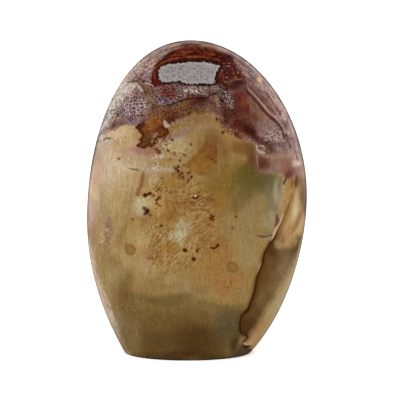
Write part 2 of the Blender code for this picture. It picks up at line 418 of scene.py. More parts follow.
WASHES = [
    # across, up, half width, half height, tilt, strength, colour
    (-38, 40, 12, 26, 4, 0.8, STRAW),
    (-36, 78, 14, 15, 0, 1.0, TAN),
    (-38, 76, 6, 9, 0, 0.7, paint(190, 164, 142)),
    (-41, 82, 1.8, 6, -14, 0.9, paint(144, 118, 104)),
    (-28, 70, 8, 8, 0, 0.6, BUFF),
    (-33, 75, 7, 6, 0, 0.7, paint(206, 182, 148)),
    (-36.4, 78.6, 2.4, 4, 0, 0.6, paint(210, 186, 156)),
    # Painted highlight: a pale pink strip along the upper left rim.
    (-41.6, 66, 2.6, 14, -4, 0.8, paint(208, 170, 148)),
    (-28.6, 85.6, 6, 4.4, 0, 0.9, paint(196, 164, 120)),
    (-35.6, 87, 3, 2.6, 0, 0.9, paint(200, 174, 152)),
    (-31, 88, 4, 2.2, 0, 0.85, paint(212, 184, 150)),
    (-36, 62, 8, 6, 0, 0.7, BUFF),
    (-37.4, 60, 1.8, 7, 0, 0.6, paint(158, 138, 98)),
    (-30, 56, 4, 7, 0, 0.4, paint(168, 146, 100)),
    # Painted highlights along the upper left rim, like the strip above.
    (-44, 56, 1.8, 6, 0, 0.8, paint(208, 178, 162)),
    (-40.6, 65.6, 2, 4, 0, 0.8, paint(218, 188, 156)),
    (-37.6, 38, 2.4, 10, 6, 0.6, paint(162, 134, 90)),
    (-28, 47, 4, 6, 0, 0.4, OCHRE),
    (-21, 46, 6, 6, 0, 0.7, paint(184, 156, 104)),
    (-25, 35, 9, 4, 0, 0.7, STRAW),
    (-28.4, 32, 3, 3, 0, 0.6, paint(172, 142, 94)),
    (-20.4, 28, 3, 2.4, 0, 0.5, paint(166, 138, 90)),
    (-24, 31, 5, 3.6, 0, 0.7, paint(172, 142, 94)),
    (-35, 37, 4, 4, 0, 0.6, OLIVE),
    (-29, 25, 5, 9, 8, 0.7, UMBER),
    (-15, 27.4, 7, 3.4, 0, 0.6, paint(140, 112, 66)),
    (-25, 79.8, 7, 2.2, -4, 0.8, ROSE),
    (-21.6, 81, 3.8, 2.2, 0, 0.9, paint(154, 112, 94)),
    (-18, 84, 4, 4, 0, 0.8, paint(164, 118, 82)),
    (-13, 85.4, 5, 2.4, 22, 0.8, paint(160, 122, 96)),
    (-6, 87.6, 6, 1.4, 24, 0.8, paint(150, 118, 102)),
    (-7.4, 86, 1.4, 1.2, 0, 0.8, paint(142, 112, 104)),
    (-2.8, 86.6, 0.9, 1, 0, 0.8, paint(158, 112, 62)),
    (2, 90.4, 5, 2, 20, 0.5, paint(160, 128, 98)),
    (-7, 92, 6, 1.8, 18, 0.8, paint(152, 116, 78)),
    (-9, 84.4, 6, 1.6, 16, 0.7, paint(188, 172, 140)),
    (-7, 82, 6, 3, 0, 0.85, paint(184, 160, 114)),
    (-2, 83.4, 3, 3, 0, 0.6, paint(164, 136, 86)),
    (-12.6, 76.6, 2.6, 1.4, 0, 0.8, paint(156, 136, 76)),
    (-18.6, 74, 4.6, 1.3, 0, 0.6, paint(180, 156, 142)),
    (-28, 77, 3, 2, 0, 0.4, paint(158, 130, 88)),
    (-12.4, 74.2, 3.4, 1.1, 0, 0.7, paint(180, 160, 142)),
    (-16.4, 70.4, 2, 3, 0, 0.6, paint(182, 162, 124)),
    (-25, 70, 2.6, 2.4, 0, 0.4, paint(172, 138, 82)),
    (-10, 69.4, 2.2, 3, 0, 0.8, paint(146, 104, 44)),
    (-10, 60, 9, 8, 0, 0.8, paint(156, 116, 64)),
    (-17.6, 62.6, 4.4, 5, 0, 0.85, paint(190, 154, 100)),
    (-12, 68.6, 3, 2.6, 0, 0.5, paint(172, 134, 78)),
    (-8, 76.8, 6, 2.4, 0, 0.6, paint(176, 142, 94)),
    (2, 68, 4, 2.4, 0, 0.5, paint(164, 132, 76)),
    (-11, 56.8, 3.2, 2.2, 0, 0.7, paint(142, 100, 52)),
    (-2, 66, 7, 4, 0, 0.7, paint(158, 124, 70)),
    (2, 60, 5, 4, 0, 0.5, OCHRE),
    (9, 57, 4, 6, 0, 0.6, paint(134, 100, 46)),
    (-21.8, 60.4, 3.8, 1.9, 14, 0.85, paint(190, 178, 142)),
    (-20.4, 51.6, 3, 2.4, 0, 0.5, paint(136, 100, 54)),
    (-23.4, 57, 3, 3, 0, 0.7, paint(186, 176, 146)),
    (-16.6, 41, 3.4, 5, 0, 0.7, paint(154, 112, 66)),
    (-10, 43, 3, 3, 0, 0.5, OCHRE),
    (-10, 34, 4, 6, 0, 0.5, paint(162, 138, 92)),
    (3.4, 51, 4, 5, 0, 0.6, paint(154, 112, 60)),
    (-8, 53, 2.6, 3, 0, 0.6, paint(172, 140, 88)),
    (-3, 41, 3, 3.4, 0, 0.7, paint(178, 150, 102)),
    (0, 35.6, 3, 2.4, 0, 0.4, paint(166, 134, 86)),
    (2, 57.4, 4, 1.8, 0, 0.3, STRAW),
    (6.4, 59.8, 3, 5, 0, 0.6, paint(146, 112, 56)),
    (0, 38, 7, 6, 0, 0.3, HONEY),
    (-5.6, 46, 2.4, 3, 0, 0.7, paint(178, 160, 116)),
    (10.6, 45, 5, 5, 0, 0.7, paint(148, 108, 60)),
    (7, 37, 6, 9, 0, 0.6, OCHRE),
    (14, 29, 6, 5, 0, 0.7, paint(160, 112, 62)),
    (18, 53, 7, 9, 0, 0.8, paint(146, 126, 82)),
    (20.6, 42, 4, 8, 0, 0.85, paint(150, 130, 88)),
    (14.4, 59.4, 2.6, 2.2, 0, 0.8, paint(124, 98, 54)),
    (17.4, 62, 4.6, 4, 35, 0.8, paint(116, 92, 46)),
    (11.4, 70, 9, 9, 0, 0.85, paint(124, 94, 34)),
    (23.4, 69.6, 4, 5.4, 0, 0.9, paint(92, 74, 36)),
    (21.6, 77.2, 2.6, 3, 0, 0.85, paint(110, 66, 42)),
    (17, 66.6, 4, 4, 0, 0.6, paint(116, 96, 50)),
    (19.4, 72.4, 5, 5, 0, 0.95, paint(98, 80, 32)),
    (22, 64.6, 4, 5, 0, 0.85, paint(106, 88, 44)),
    (13.6, 78.8, 5, 1.8, 0, 0.5, paint(142, 118, 76)),
    (10.4, 83, 3, 5, 0, 0.8, paint(128, 86, 46)),
    (16, 84.4, 5, 2, -20, 0.7, paint(150, 108, 58)),
    (18, 82, 4.4, 2.4, -20, 0.9, paint(126, 84, 36)),
    (21.4, 80.4, 3.2, 3.2, 0, 0.9, paint(112, 74, 36)),
    (21.4, 77, 2.2, 2.8, 0, 0.85, paint(104, 60, 40)),
    (4, 80, 4, 7, 0, 0.5, AMBER),
    (7.4, 88, 3, 2.6, 0, 0.8, paint(136, 92, 48)),
    (2, 93.6, 6, 3, 0, 0.7, paint(146, 110, 68)),
    (-4.6, 25.4, 2.8, 4.4, 0, 0.8, paint(152, 132, 94)),
    (3, 25.6, 4, 2.4, 0, 0.6, paint(130, 106, 66)),
    (10, 22, 8, 2.6, 0, 0.6, paint(160, 132, 78)),
    (-36, 30, 4, 10, 12, 0.5, STRAW),
    # Towards the foot these browns are partly the stone's colour and partly painted shade.
    (-13, 22, 14, 2.2, -3, 0.8, paint(106, 86, 46)),
    (-6, 12, 30, 9.5, -4, 0.95, UMBER),
    (3, 19, 6, 2, -8, 0.6, paint(126, 104, 60)),
    (13, 13, 7, 7, 0, 0.8, SLATE_GREEN),
    (12, 19.6, 6, 1.2, 0, 0.6, paint(116, 98, 52)),
    (-8, 4, 22, 7.5, 0, 0.85, EARTH_AND_SHADE),
    # Painted shadow: a dark line along the foot's front edge.
    (-4, -1.4, 30, 2.6, 0, 0.8, paint(62, 42, 18)),
    (16, 4, 2.6, 4.4, 0, 0.85, paint(70, 50, 26)),
    (2, 4, 9, 7, 0, 0.8, DARK_EARTH_AND_SHADE),
    (-25, 6, 5, 5, 0, 0.5, paint(118, 92, 52)),
    (-32, 12, 2.6, 9, 20, 0.9, paint(158, 134, 96)),
    (-26, 3, 5, 6, -6, 0.85, paint(136, 110, 70)),
    (-27.4, 7, 4, 6, 0, 0.85, paint(138, 112, 72)),
]


def washed(ground, washes, sheet):
    """Lays washes over a ground colour in turn, and returns the colour of each point.

    Each counts by its strength times e to the minus the 3.6th power of how far out the point is, in half
    widths. Slow sines push the point about, so that no oval shows as one.
    """
    x, y, hidden = sheet
    x = x + 1.1 * np.sin(y / 3.3 + 0.4) + 0.6 * np.sin(x / 2.1 - y / 4.7)
    y = y + 1.0 * np.sin(x / 3.9 - 1.2) + 0.5 * np.sin(y / 1.9 + x / 5.1)
    result = np.tile(ground[:3], (len(points), 1))
    for wash_across, wash_up, half_width, half_height, tilt, strength, colour in washes:
        c, s = np.cos(np.radians(tilt)), np.sin(np.radians(tilt))
        right, high = x - wash_across, y - wash_up
        out = np.hypot((right * c + high * s) / half_width, (high * c - right * s) / half_height)
        share = strength * np.exp(-(out**3.6)) * np.exp(-hidden / 6)
        result += share[:, None] * (colour[:3] - result)
    return result


colour = keep("body_wash", washed(HONEY, WASHES, DEEP))
heart = patch("heart", [(-22, 44), (-20, 66), (-8, 74), (6, 70), (11, 52), (8, 34), (-8, 28), (-18, 34)])
heart_share = cover(heart, 12.0, wander=2.0)
mottle_share = maths("MULTIPLY_ADD", heart_share, 0.5, 0.5)
colour = grained(colour, MOTTLE, (0.9, 0.82, 0.64), (1.09, 1.12, 1.24), maths("MULTIPLY", mottle_share, 0.8))
colour = grained(colour, CLOUD, (1.0, 0.95, 0.84), (1.0, 1.04, 1.1), 0.8)
colour = grained(colour, GRIT, (0.88, 0.86, 0.8), (1.1, 1.12, 1.14), 0.8)
steep = noise(0.62, 3, 0.65, 0.4, (4.2, 4.2, 1), -50)
steep_zone = patch(
    "steep_zone",
    [(-20, 50), (-15, 54), (-8, 55), (-4, 49), (0, 43), (-3, 35), (-12, 32), (-18, 36), (-19, 44)],
)
steep_share = cover(steep_zone, 9.0, wander=1.5)
colour = grained(colour, steep, (0.6, 0.5, 0.36), (1.24, 1.3, 1.38), steep_share)
gentle = noise(0.66, 3, 0.6, 0.3, (4.6, 4.6, 1), -16)
gentle_zone = patch(
    "gentle_zone",
    [(-3, 45), (-2, 57), (-9, 62), (-7, 67), (5, 66), (7.5, 57), (7.4, 46), (3, 42)],
)
gentle_share = cover(gentle_zone, 8.0, wander=1.5)
colour = grained(colour, gentle, (0.64, 0.54, 0.4), (1.22, 1.28, 1.36), gentle_share)
upright = noise(0.9, 2, 0.5, 0.0, (1, 1, 9))
colour = grained(colour, upright, (0.9, 0.88, 0.84), (1.08, 1.1, 1.13), 0.9)
colour = grained(colour, SPECK, (0.84, 0.8, 0.72), (1.13, 1.16, 1.22), mottle_share)


def patched(colour, ink, name, *outlines, on=FACE, **looks):
    """A colour with an ink laid over it inside given outlines, with the edge that cover gives them."""
    return over(colour, ink, cover(patch(name, *outlines, on=on), **looks))


amber_tongue = patch(
    "amber_tongue",
    [(4, 90), (8, 90.4), (8.1, 82), (7.8, 77), (6.2, 75.4), (5.6, 73), (4, 71.6), (1.6, 71.6), (-1.6, 72.8),
     (-4.6, 74.6), (-4.2, 76.4), (-2, 78.6), (-0.6, 80), (1.4, 82), (2.8, 84), (3.6, 86)],
)
amber = keep("amber_wash", washed(AMBER, [(6.4, 86, 3, 4, 0, 0.9, paint(114, 66, 28)),
                                          (2.4, 79.6, 4, 3.4, 0, 0.7, paint(126, 80, 26)),
                                          (0.6, 74.2, 5, 3, 0, 0.9, paint(146, 102, 40))], DEEP))
amber = grained(amber, noise(2.4, 3), (0.88, 0.8, 0.6), (1.12, 1.18, 1.4))
amber = grained(amber, GRIT, (0.84, 0.8, 0.7), (1.1, 1.14, 1.2))
amber_fade = keep("amber_fade", ((88.6 - up) / 6).clip(0, 1))
colour = over(colour, amber, maths("MULTIPLY", cover(amber_tongue, 1.6, fray=0.6, most=0.92), amber_fade))

colour = patched(
    colour, paint(152, 100, 48), "ochre_block",
    [(7.6, 64.4), (9.4, 64.8), (11, 64.4), (11.2, 61), (10.8, 58.2), (9.4, 57.8), (7.8, 58.2), (7.4, 61)],
    edge=1.4, fray=0.5, most=0.42,
)
flare = stained(GRIT, (0.36, paint(160, 146, 106)), (0.64, paint(208, 202, 176)))
colour = patched(
    colour, flare, "white_flare",
    [(-6.6, 54.4), (-4.8, 52.4), (-2.4, 51), (-2.4, 50), (-4, 48.6), (-5, 46), (-5.4, 43.6), (-6.4, 43.6),
     (-7.4, 45.4), (-9.4, 45.6), (-11.4, 46.2), (-11, 47.6), (-9.2, 49.2), (-7.8, 51.4), (-7.2, 53.4)],
    edge=2.8, fray=1.0, most=0.58,
)

steep_strokes = maths("MULTIPLY", step(steep, 0.48, 0.38, 0.6), steep_share)
colour = over(colour, paint(130, 86, 36), steep_strokes)
gentle_strokes = maths("MULTIPLY", step(gentle, 0.48, 0.38, 0.6), gentle_share)
colour = over(colour, paint(128, 80, 32), gentle_strokes)


def thickly(name, *ovals, on=FACE):
    """How thickly grains lie, from 0 to 1: ovals given as (across, up, half width, half height, most).

    Each falls off as e to the minus the cube of how far out a point is, in half widths.
    """
    sheet_across, sheet_up, hidden = on
    bare = np.ones(len(points))
    for oval_across, oval_up, half_width, half_height, most in ovals:
        out = np.hypot((sheet_across - oval_across) / half_width, (sheet_up - oval_up) / half_height)
        bare *= 1 - most * np.exp(-(out**3)) * np.exp(-hidden / 4)
    return keep(name, 1 - bare)


PINS = noise(0.74, 1, 0.5)
OTHER_PINS = noise(0.7, 1, 0.5)
rust_grains = thickly(
    "rust_grains",
    (-8, 74.2, 3, 2.4, 0.8), (-4.4, 71.2, 4, 2.6, 0.8), (-16, 61.6, 2.4, 3.4, 0.9),
    (-17.6, 66, 3, 2.4, 0.6), (-15, 81.6, 4, 2, 0.8), (3, 63, 5, 2.6, 0.85), (13, 27, 5, 4, 0.6),
    (-12, 87.4, 4, 3.4, 0.9), (-19.6, 57, 2.2, 2.2, 0.6), (5, 56, 2.4, 3, 0.6), (-18, 40, 4, 6, 0.7),
    (-16, 83.6, 5, 3, 0.9), (-5, 59, 10, 5, 0.7), (-14, 66, 6, 4, 0.75),
)
olive_grains = thickly(
    "olive_grains",
    (-6, 80.6, 6, 4.6, 0.9), (7.6, 79, 1.6, 8, 1.0), (11, 74.6, 3.4, 3, 0.6), (-30, 86, 6, 4, 0.6),
    (-2, 93, 8, 3.4, 0.8), (-15, 63, 6, 6, 0.6), (1, 72, 3, 3, 0.6), (-26, 64, 8, 6, 0.5),
    (4, 48, 6, 6, 0.6), (-12, 46, 8, 10, 0.6), (16, 51, 4, 6, 0.5), (-12, 90.6, 5, 2, 0.8),
    (-22, 26, 10, 6, 0.45),
)
pale_grains = thickly(
    "pale_grains",
    (-15.4, 78.6, 4, 1.6, 1.0), (-16.6, 76, 1.6, 3, 0.9), (-17, 73.8, 5.4, 1.5, 1.0),
    (-17, 70, 2.4, 3, 0.7), (-16, 44, 6, 8, 0.3), (-9, 48, 3, 4, 0.5), (-2.2, 69.4, 1.4, 2.6, 0.8),
    (-25.4, 18.4, 2.4, 2.4, 0.5), (-28, 66, 8, 8, 0.4), (-8, 91.6, 7, 2, 0.5), (2, 95.4, 5, 1.4, 0.6),
    (-38, 46.8, 2, 5, 0.85), (-28, 91, 6, 1.2, 0.9), (-14, 83, 5, 3, 0.85), (-6, 72, 4, 3, 0.7),
    (-14, 24, 6, 4, 0.3),
)
colour = peppered(colour, paint(112, 82, 34), OTHER_PINS, olive_grains, 0.7)
colour = peppered(colour, paint(212, 192, 160), maths("SUBTRACT", 1.0, OTHER_PINS), pale_grains, 0.6)
colour = peppered(colour, paint(98, 44, 14), PINS, rust_grains, 0.85)


# Down the right side a dark vein parts the face from a side of honey and cream, which turns to brown below
# and ends in a pale tan edge that is painted reflection.
SIDE_HONEY = paint(180, 146, 96)
SIDE_RUST = paint(146, 100, 56)
SIDE_BROWN = paint(116, 88, 54)
SIDE_GOLD = paint(124, 92, 46)
SIDE_GREY_BROWN = paint(132, 106, 72)
SIDE_REFLECTION_TAN = paint(204, 174, 122)
SIDE_REFLECTION_ORANGE = paint(204, 158, 98)
VEIN = paint(54, 26, 6)

SIDE_WASHES = [
    # across, up, half width, half height, tilt, strength, colour
    (30, 43.6, 3.6, 5, 0, 0.95, paint(80, 50, 28)),
    (28, 36, 3, 4, 0, 0.7, paint(98, 68, 38)),
    (36, 41, 4, 3, 30, 0.5, SIDE_GREY_BROWN),
    (38.4, 40.5, 1.6, 3, -30, 0.8, paint(92, 70, 36)),
    (35, 36, 3, 6, -20, 0.7, paint(134, 112, 82)),
    (35.4, 43.4, 3, 1.8, 30, 0.7, paint(134, 108, 68)),
    (27.4, 31, 2.6, 4, 0, 0.8, paint(110, 74, 34)),
    (34.5, 32, 3, 5, 0, 0.7, SIDE_GREY_BROWN),
    (28, 25, 4, 4, 0, 0.6, SIDE_GOLD),
    (26, 20, 4, 4, 0, 0.7, paint(124, 98, 58)),
    (22.4, 16, 4, 4, 0, 0.8, paint(104, 76, 44)),
    (20, 10.4, 3.6, 4, 0, 0.9, paint(84, 56, 30)),
    (32, 27, 2, 3, -25, 0.5, SIDE_GREY_BROWN),
    (26, 38, 1.6, 3, 0, 0.6, paint(128, 96, 56)),
    (32.4, 43.2, 3, 1.6, 0, 0.7, paint(106, 80, 48)),
    (50, 30, 12, 20, 0, 0.7, SIDE_GOLD),
    (60, 60, 16, 14, 0, 0.8, SIDE_HONEY),
]


def lined(colour, ink, name, *routes, on=FACE, **looks):
    """A colour with an ink laid over it along given routes, with the width and edge for along."""
    return over(colour, ink, along(line(name, *routes, on=on), **looks))


def spotted(colour, ink, name, *spots, on=FACE, **looks):
    """A colour with an ink laid over it in round spots, each given as (across, up, radius)."""
    return over(colour, ink, cover(dots(name, *spots, on=on), **looks))


side_ground = patch(
    "side_ground",
    [(39.6, 71), (37.6, 62), (35.2, 55.8), (33.3, 51.8), (30.9, 46.2), (27.8, 41.7), (26.3, 36.9),
     (24.6, 32.1), (23.3, 26.3), (21.4, 20.3), (18.2, 16), (17.3, 12), (17.4, 9), (19.4, 7.6), (18, 4.2),
     (16, 1), (14, -4), (30, -8), (60, 10), (66, 60), (60, 74)],
    on=DEEP,
)
side = keep("side_wash", washed(SIDE_BROWN, SIDE_WASHES, DEEP))
side = grained(side, MOTTLE, (0.9, 0.82, 0.7), (1.08, 1.12, 1.18), 0.8)
side = grained(side, noise(1.1, 3, 0.6, 0.3, (1, 1, 5), 18), (0.92, 0.88, 0.82), (1.08, 1.1, 1.14))
colour = over(colour, side, cover(side_ground, 0.6))
side_honey = patch(
    "side_honey",
    [(39, 74), (37.4, 62), (35.2, 56), (33.2, 51.5), (31.4, 46), (32.2, 43), (34.6, 42.4), (37.4, 43.2),
     (39.8, 45), (41.5, 47.6), (60, 50), (60, 74)],
    on=DEEP,
)
honey = keep("honey_wash", washed(SIDE_HONEY, [
    # across, up, half width, half height, tilt, strength, colour
    (34, 47.6, 2.6, 3.8, 20, 0.9, paint(138, 104, 62)),
    (39, 58.4, 1.8, 5.4, -12, 0.95, paint(208, 188, 146)),
    (39.6, 64.4, 1, 3.4, 0, 0.8, paint(204, 178, 128)),
    (37.6, 49.4, 2, 2.6, 0, 0.7, paint(192, 146, 110)),
    (41, 52, 2.2, 4.4, 0, 0.95, paint(204, 174, 120)),
    (36.4, 54, 1.2, 3, -20, 0.6, paint(196, 166, 112)),
    (43.8, 61.6, 2.2, 9, 0, 1.0, paint(104, 68, 22)),
    (42, 65, 0.8, 2, 0, 0.6, paint(180, 136, 82)),
    (40.8, 69.2, 3.8, 3.2, 0, 0.9, paint(124, 92, 58)),
    (60, 60, 14, 12, 0, 0.7, paint(166, 130, 80)),
], DEEP))
honey = grained(honey, noise(1.6, 3, 0.5, 0.2, (1, 1, 6), 14), (0.86, 0.78, 0.66), (1.1, 1.14, 1.2))
honey = grained(honey, GRIT, (0.92, 0.9, 0.86), (1.06, 1.08, 1.1))
colour = over(colour, honey, cover(side_honey, 3.2, fray=1.6))
colour = lined(
    colour, SIDE_RUST, "side_rust",
    [(41.8, 57), (40.6, 54), (39.4, 51), (38, 48.6)],
    [(39.2, 66.6), (38.4, 63.6), (37, 60.4)],
    width=2.0, edge=1.8, most=0.7,
)
vein_shade = maths("MULTIPLY", step(side_ground, 0.2, -0.6), step(side_ground, -3.4, -0.4, 0.5))
vein_shade = maths("MULTIPLY", vein_shade, cover(side_honey, -3.0, 1.0))
colour = over(colour, paint(74, 40, 20), vein_shade)
# Painted reflection: a pale tan and orange strip along the lower right rim.
side_reflection = stained(keep("level", points[:, 2] / HEIGHT), (0.05, paint(214, 174, 122)), (0.11, SIDE_REFLECTION_ORANGE),
                    (0.16, SIDE_REFLECTION_TAN))
colour = patched(
    colour, side_reflection, "right_rim_reflection",
    [(46, 44), (40.6, 40), (37.6, 34), (34.2, 28.4), (30.6, 22), (27.6, 17), (25.2, 12.6), (23.4, 9.8),
     (21.4, 7.2), (19.8, 5.4), (18.4, 4.3), (20.2, 3.4), (22, 1.6), (24, -1), (30, -3), (56, 20), (54, 40)],
    on=DEEP, edge=4.6, fray=0.9, most=0.95,
)
# Painted highlight: a pale line along the lower right rim.
colour = lined(
    colour, paint(208, 190, 158), "pale_rim_highlight",
    [(42.8, 47), (41.4, 41), (39.6, 34.6), (37, 28), (34, 21.4), (30.6, 14.6), (26.8, 8)],
    on=DEEP, width=1.6, edge=1.6, fray=0.3, most=0.8, taper=False,
)
colour = spotted(
    colour, paint(176, 158, 128), "side_glints",
    (34.6, 35, 0.3), (35, 33.6, 0.25), (33.6, 32.6, 0.3), (34.2, 31.4, 0.25), (32.8, 30.6, 0.25),
    (33.2, 33.8, 0.2), (31.8, 28.6, 0.2), (35.6, 36.4, 0.2), (38, 47.6, 0.25), (36.8, 46, 0.25),
    edge=0.6, fray=0.3, most=0.7,
)
# The foot's right corner is maroon, with painted shade along its edges and a painted highlight along its top.
colour = patched(
    colour, paint(100, 76, 54), "maroon_corner",
    [(14.6, -3), (16.4, 1.6), (18.2, 3.9), (20, 3), (21.4, 1.8), (22.6, 0.6), (23.4, -1), (23, -4)],
    on=DEEP, edge=1.4, fray=0.3,
)
colour = lined(
    colour, paint(34, 14, 6), "corner_shade",
    [(18.4, 3.4), (19.8, 3), (21.2, 3.4)],
    [(15.4, -1.6), (18, -1), (20.6, 0)],
    width=1.3, edge=0.9, most=0.85,
)
colour = lined(
    colour, paint(222, 186, 138), "side_glint",
    [(18.4, 4.4), (19.6, 3.9), (21.2, 4.1), (22.6, 4.2)],
    width=0.8, edge=0.5, most=0.9,
)
vein = line(
    "vein",
    [(37.2, 60.6), (36.4, 58.8), (35.2, 56.2), (33.5, 52.2), (32.2, 49.8), (31.3, 47), (30.4, 45.6),
     (29.2, 44.1), (27.8, 41.7), (26.8, 39.5), (26.3, 36.9), (25.4, 34.2), (24.6, 32.1), (23.8, 29.4),
     (23.3, 26.3), (22.6, 23.6), (21.4, 20.3), (20.2, 17.4), (18.2, 15.6), (17.4, 13), (17.2, 10),
     (17.9, 8.2), (19.6, 7.4), (20.2, 6.6), (19, 5.4), (18, 4.2)],
)
colour = over(colour, paint(92, 52, 14), along(vein, 2.4, 1.8, most=0.65))
vein_share = along(vein, 0.9, 0.6, fray=0.2, most=0.92)
colour = over(colour, VEIN, vein_share)
colour = lined(
    colour, paint(100, 62, 22), "vein_head",
    [(40, 72.4), (39.9, 70.6), (39.6, 68.4), (39.3, 66.4)],
    width=1.2, edge=1.0, fray=0.2, most=0.8,
)
colour = lined(
    colour, paint(134, 94, 46), "vein_inner",
    [(37.4, 58.4), (36.4, 55.4), (34.8, 52), (33.6, 49), (32.6, 46.4)],
    on=DEEP, width=1.6, edge=1.4, fray=0.4, most=0.4,
)
colour = lined(
    colour, paint(190, 160, 116), "vein_lip",
    [(34.6, 55), (33, 52), (31.7, 49.8), (30.7, 47.4), (29.8, 46)],
    [(25.6, 36.8), (24.8, 34.6), (24, 32.6)],
    width=0.8, edge=0.6, most=0.6,
)


# The left rim has mauve and rose clouds with pale specks in them, and towards the foot a pale strip of
# painted reflection. Streaks that run up the rim break up their edges.
streaks = noise(1.3, 3, 0.6, 0.3, (1, 1, 6), -6)
rim_clouds = thickly("rim_clouds", (-43.4, 49, 3.6, 9, 1.0), (-42.4, 81, 2.6, 6, 0.8))
cloud_streaks = step(maths("ADD", streaks, swing(MOTTLE, 0.12)), 0.42, 0.56, 0.85)
cloud_share = maths("MULTIPLY", rim_clouds, cloud_streaks)
colour = over(colour, paint(174, 134, 122), cloud_share)
rim_mauve = patch(
    "rim_mauve",
    [(-36.2, 53.5), (-34.4, 54), (-33.8, 49), (-34.2, 43), (-35.2, 40), (-36.8, 40.6), (-37, 45)],
)
mauve_share = maths("MULTIPLY", cover(rim_mauve, 2.0, fray=1.2, most=0.9), step(GRIT, 0.64, 0.44))
colour = over(colour, paint(142, 104, 90), mauve_share)
# Painted reflection: a pale strip along the lower left rim, lighter further up.
left_rim_reflection = patch(
    "left_rim_reflection",
    [(-46, 47), (-42.8, 43), (-41.3, 37), (-39.6, 30.6), (-37, 23.4), (-34.4, 16.4), (-31.8, 9.4),
     (-29.4, 3), (-28.4, -4), (-60, -4), (-60, 47)],
    on=DEEP,
)
left_rim_reflection = maths("ADD", left_rim_reflection, swing(streaks, 1.6))
rim_reflection = stained(keep("low", points[:, 2] / HEIGHT), (0.04, paint(204, 174, 144)),
                  (0.13, paint(240, 218, 196)), (0.28, paint(250, 218, 194)))
rim_reflection = grained(rim_reflection, streaks, (0.86, 0.82, 0.76), (1.08, 1.1, 1.12))
rim_reflection = grained(rim_reflection, MOTTLE, (0.9, 0.86, 0.8), (1.05, 1.06, 1.08))
colour = over(colour, rim_reflection, cover(left_rim_reflection, 2.8, 0.2, wander=0.3, fray=0.9, most=0.92))
rim_line = line("rim_line", [(-36.4, 95), (-38, 91.8), (-40.3, 84), (-42, 76), (-43, 70)])
rim_line_share = maths("MULTIPLY", along(rim_line, 2.0, 1.0, fray=0.6), step(streaks, 0.56, 0.46, 0.8))
colour = over(colour, paint(122, 96, 84), rim_line_share)
colour = spotted(
    colour, paint(216, 194, 140), "rim_specks",
    (-38.5, 44.8, 0.4), (-38.4, 46.3, 0.3), (-37.5, 47, 0.3), (-38, 48.3, 0.25), (-36, 49.6, 0.45),
    (-38.8, 47.6, 0.25), (-37.4, 60, 0.3), (-39.2, 45.8, 0.25), (-38, 45.2, 0.2), (-36, 44.2, 0.25),
    (-38.6, 49.2, 0.2), (-35.4, 47.4, 0.2),
    edge=0.6, fray=0.15, most=0.85,
)


# Grey-green jasper fills the right of the face up to the vein. A cream line edges it, and it holds a wine-red
# spot and a grey scratch with glints.
GREEN_WASHES = [
    # across, up, half width, half height, tilt, strength, colour
    (26, 69, 5, 6, 0, 0.95, paint(84, 74, 40)),
    (31, 64, 3, 5, 0, 0.8, paint(124, 114, 84)),
    (31, 69, 4, 3.4, 0, 0.85, paint(102, 92, 56)),
    (28.6, 60.5, 2, 5, 0, 0.5, paint(122, 110, 74)),
    (31.6, 60, 2, 5, 0, 0.7, paint(134, 120, 90)),
    (31.2, 52, 1.6, 3, 0, 0.7, paint(128, 108, 70)),
    (25.6, 59, 3, 5, 0, 0.7, paint(146, 124, 70)),
    (29.6, 53, 1.6, 3.2, 0, 0.85, paint(164, 150, 124)),
    (33, 64, 1.4, 8, 0, 0.7, paint(168, 152, 124)),
    (26.6, 52.6, 4, 4, 0, 0.6, paint(158, 138, 92)),
    (27, 49, 4, 2, 0, 0.6, paint(140, 118, 64)),
]
green_patch = patch(
    "green_patch",
    [(34.6, 70.5), (34.2, 66), (33.4, 61), (33, 57), (31, 52), (29.5, 47.5), (27, 47.6), (24, 49), (22, 55),
     (21.4, 64), (22.6, 69.6), (26, 72), (31, 72.4)],
)
green = keep("green_wash", washed(GREY_GREEN, GREEN_WASHES, FACE))
green = grained(green, MOTTLE, (0.88, 0.84, 0.74), (1.08, 1.12, 1.2), 0.8)
green = grained(green, noise(1.2, 3, 0.6, 0.2, (1, 1, 3)), (0.92, 0.9, 0.86), (1.08, 1.08, 1.1))
green_share = cover(green_patch, 2.6, fray=0.6, most=0.95)
green_fade = keep("green_fade", ((across - 20.5) / 7).clip(0, 1))
colour = over(colour, green, maths("MULTIPLY", green_share, green_fade))
lobe_ground = grained(paint(176, 138, 88), GRIT, (0.76, 0.68, 0.58), (1.14, 1.2, 1.26))
colour = patched(
    colour, lobe_ground, "honey_lobe",
    [(35, 67), (34, 62), (33, 57), (34, 55), (35.4, 57), (36.4, 60), (37.6, 65)],
    edge=2.4, fray=0.8, most=0.9,
)
colour = lined(
    colour, paint(180, 156, 122), "cream_line",
    [(34.5, 71.5), (35, 68.8), (34.4, 65), (33.6, 61.5), (33, 58)],
    width=1.6, edge=1.6, fray=0.6, most=0.5,
)
colour = lined(
    colour, paint(214, 180, 144), "cream_lip",
    [(34.6, 56), (33.7, 54), (32.5, 51.6), (31.4, 49.4), (30.5, 47.4), (29.8, 45.6)],
    width=0.9, edge=0.6, fray=0.15, most=0.85,
)
colour = patched(
    colour, paint(112, 56, 56), "wine_spot",
    [(31.3, 55.5), (32.2, 56), (32.6, 54.4), (33, 53.2), (32.4, 52), (31.5, 50.7), (31, 51.6), (31.4, 53)],
    edge=0.7, fray=0.3, most=0.9,
)
colour = lined(
    colour, paint(84, 48, 14), "dark_hook",
    [(35.9, 71.2), (35.4, 69.6), (34.7, 68.4), (35.5, 67.6)],
    width=0.8, edge=0.4, most=0.9,
)
colour = lined(
    colour, paint(84, 74, 62), "grey_scratch",
    [(23.6, 47.3), (25.5, 47), (27, 46.8), (28.4, 47)],
    [(28.8, 47.4), (29.4, 47.2), (30, 47.4)],
    width=1.1, edge=0.7, fray=0.3, most=0.85,
)
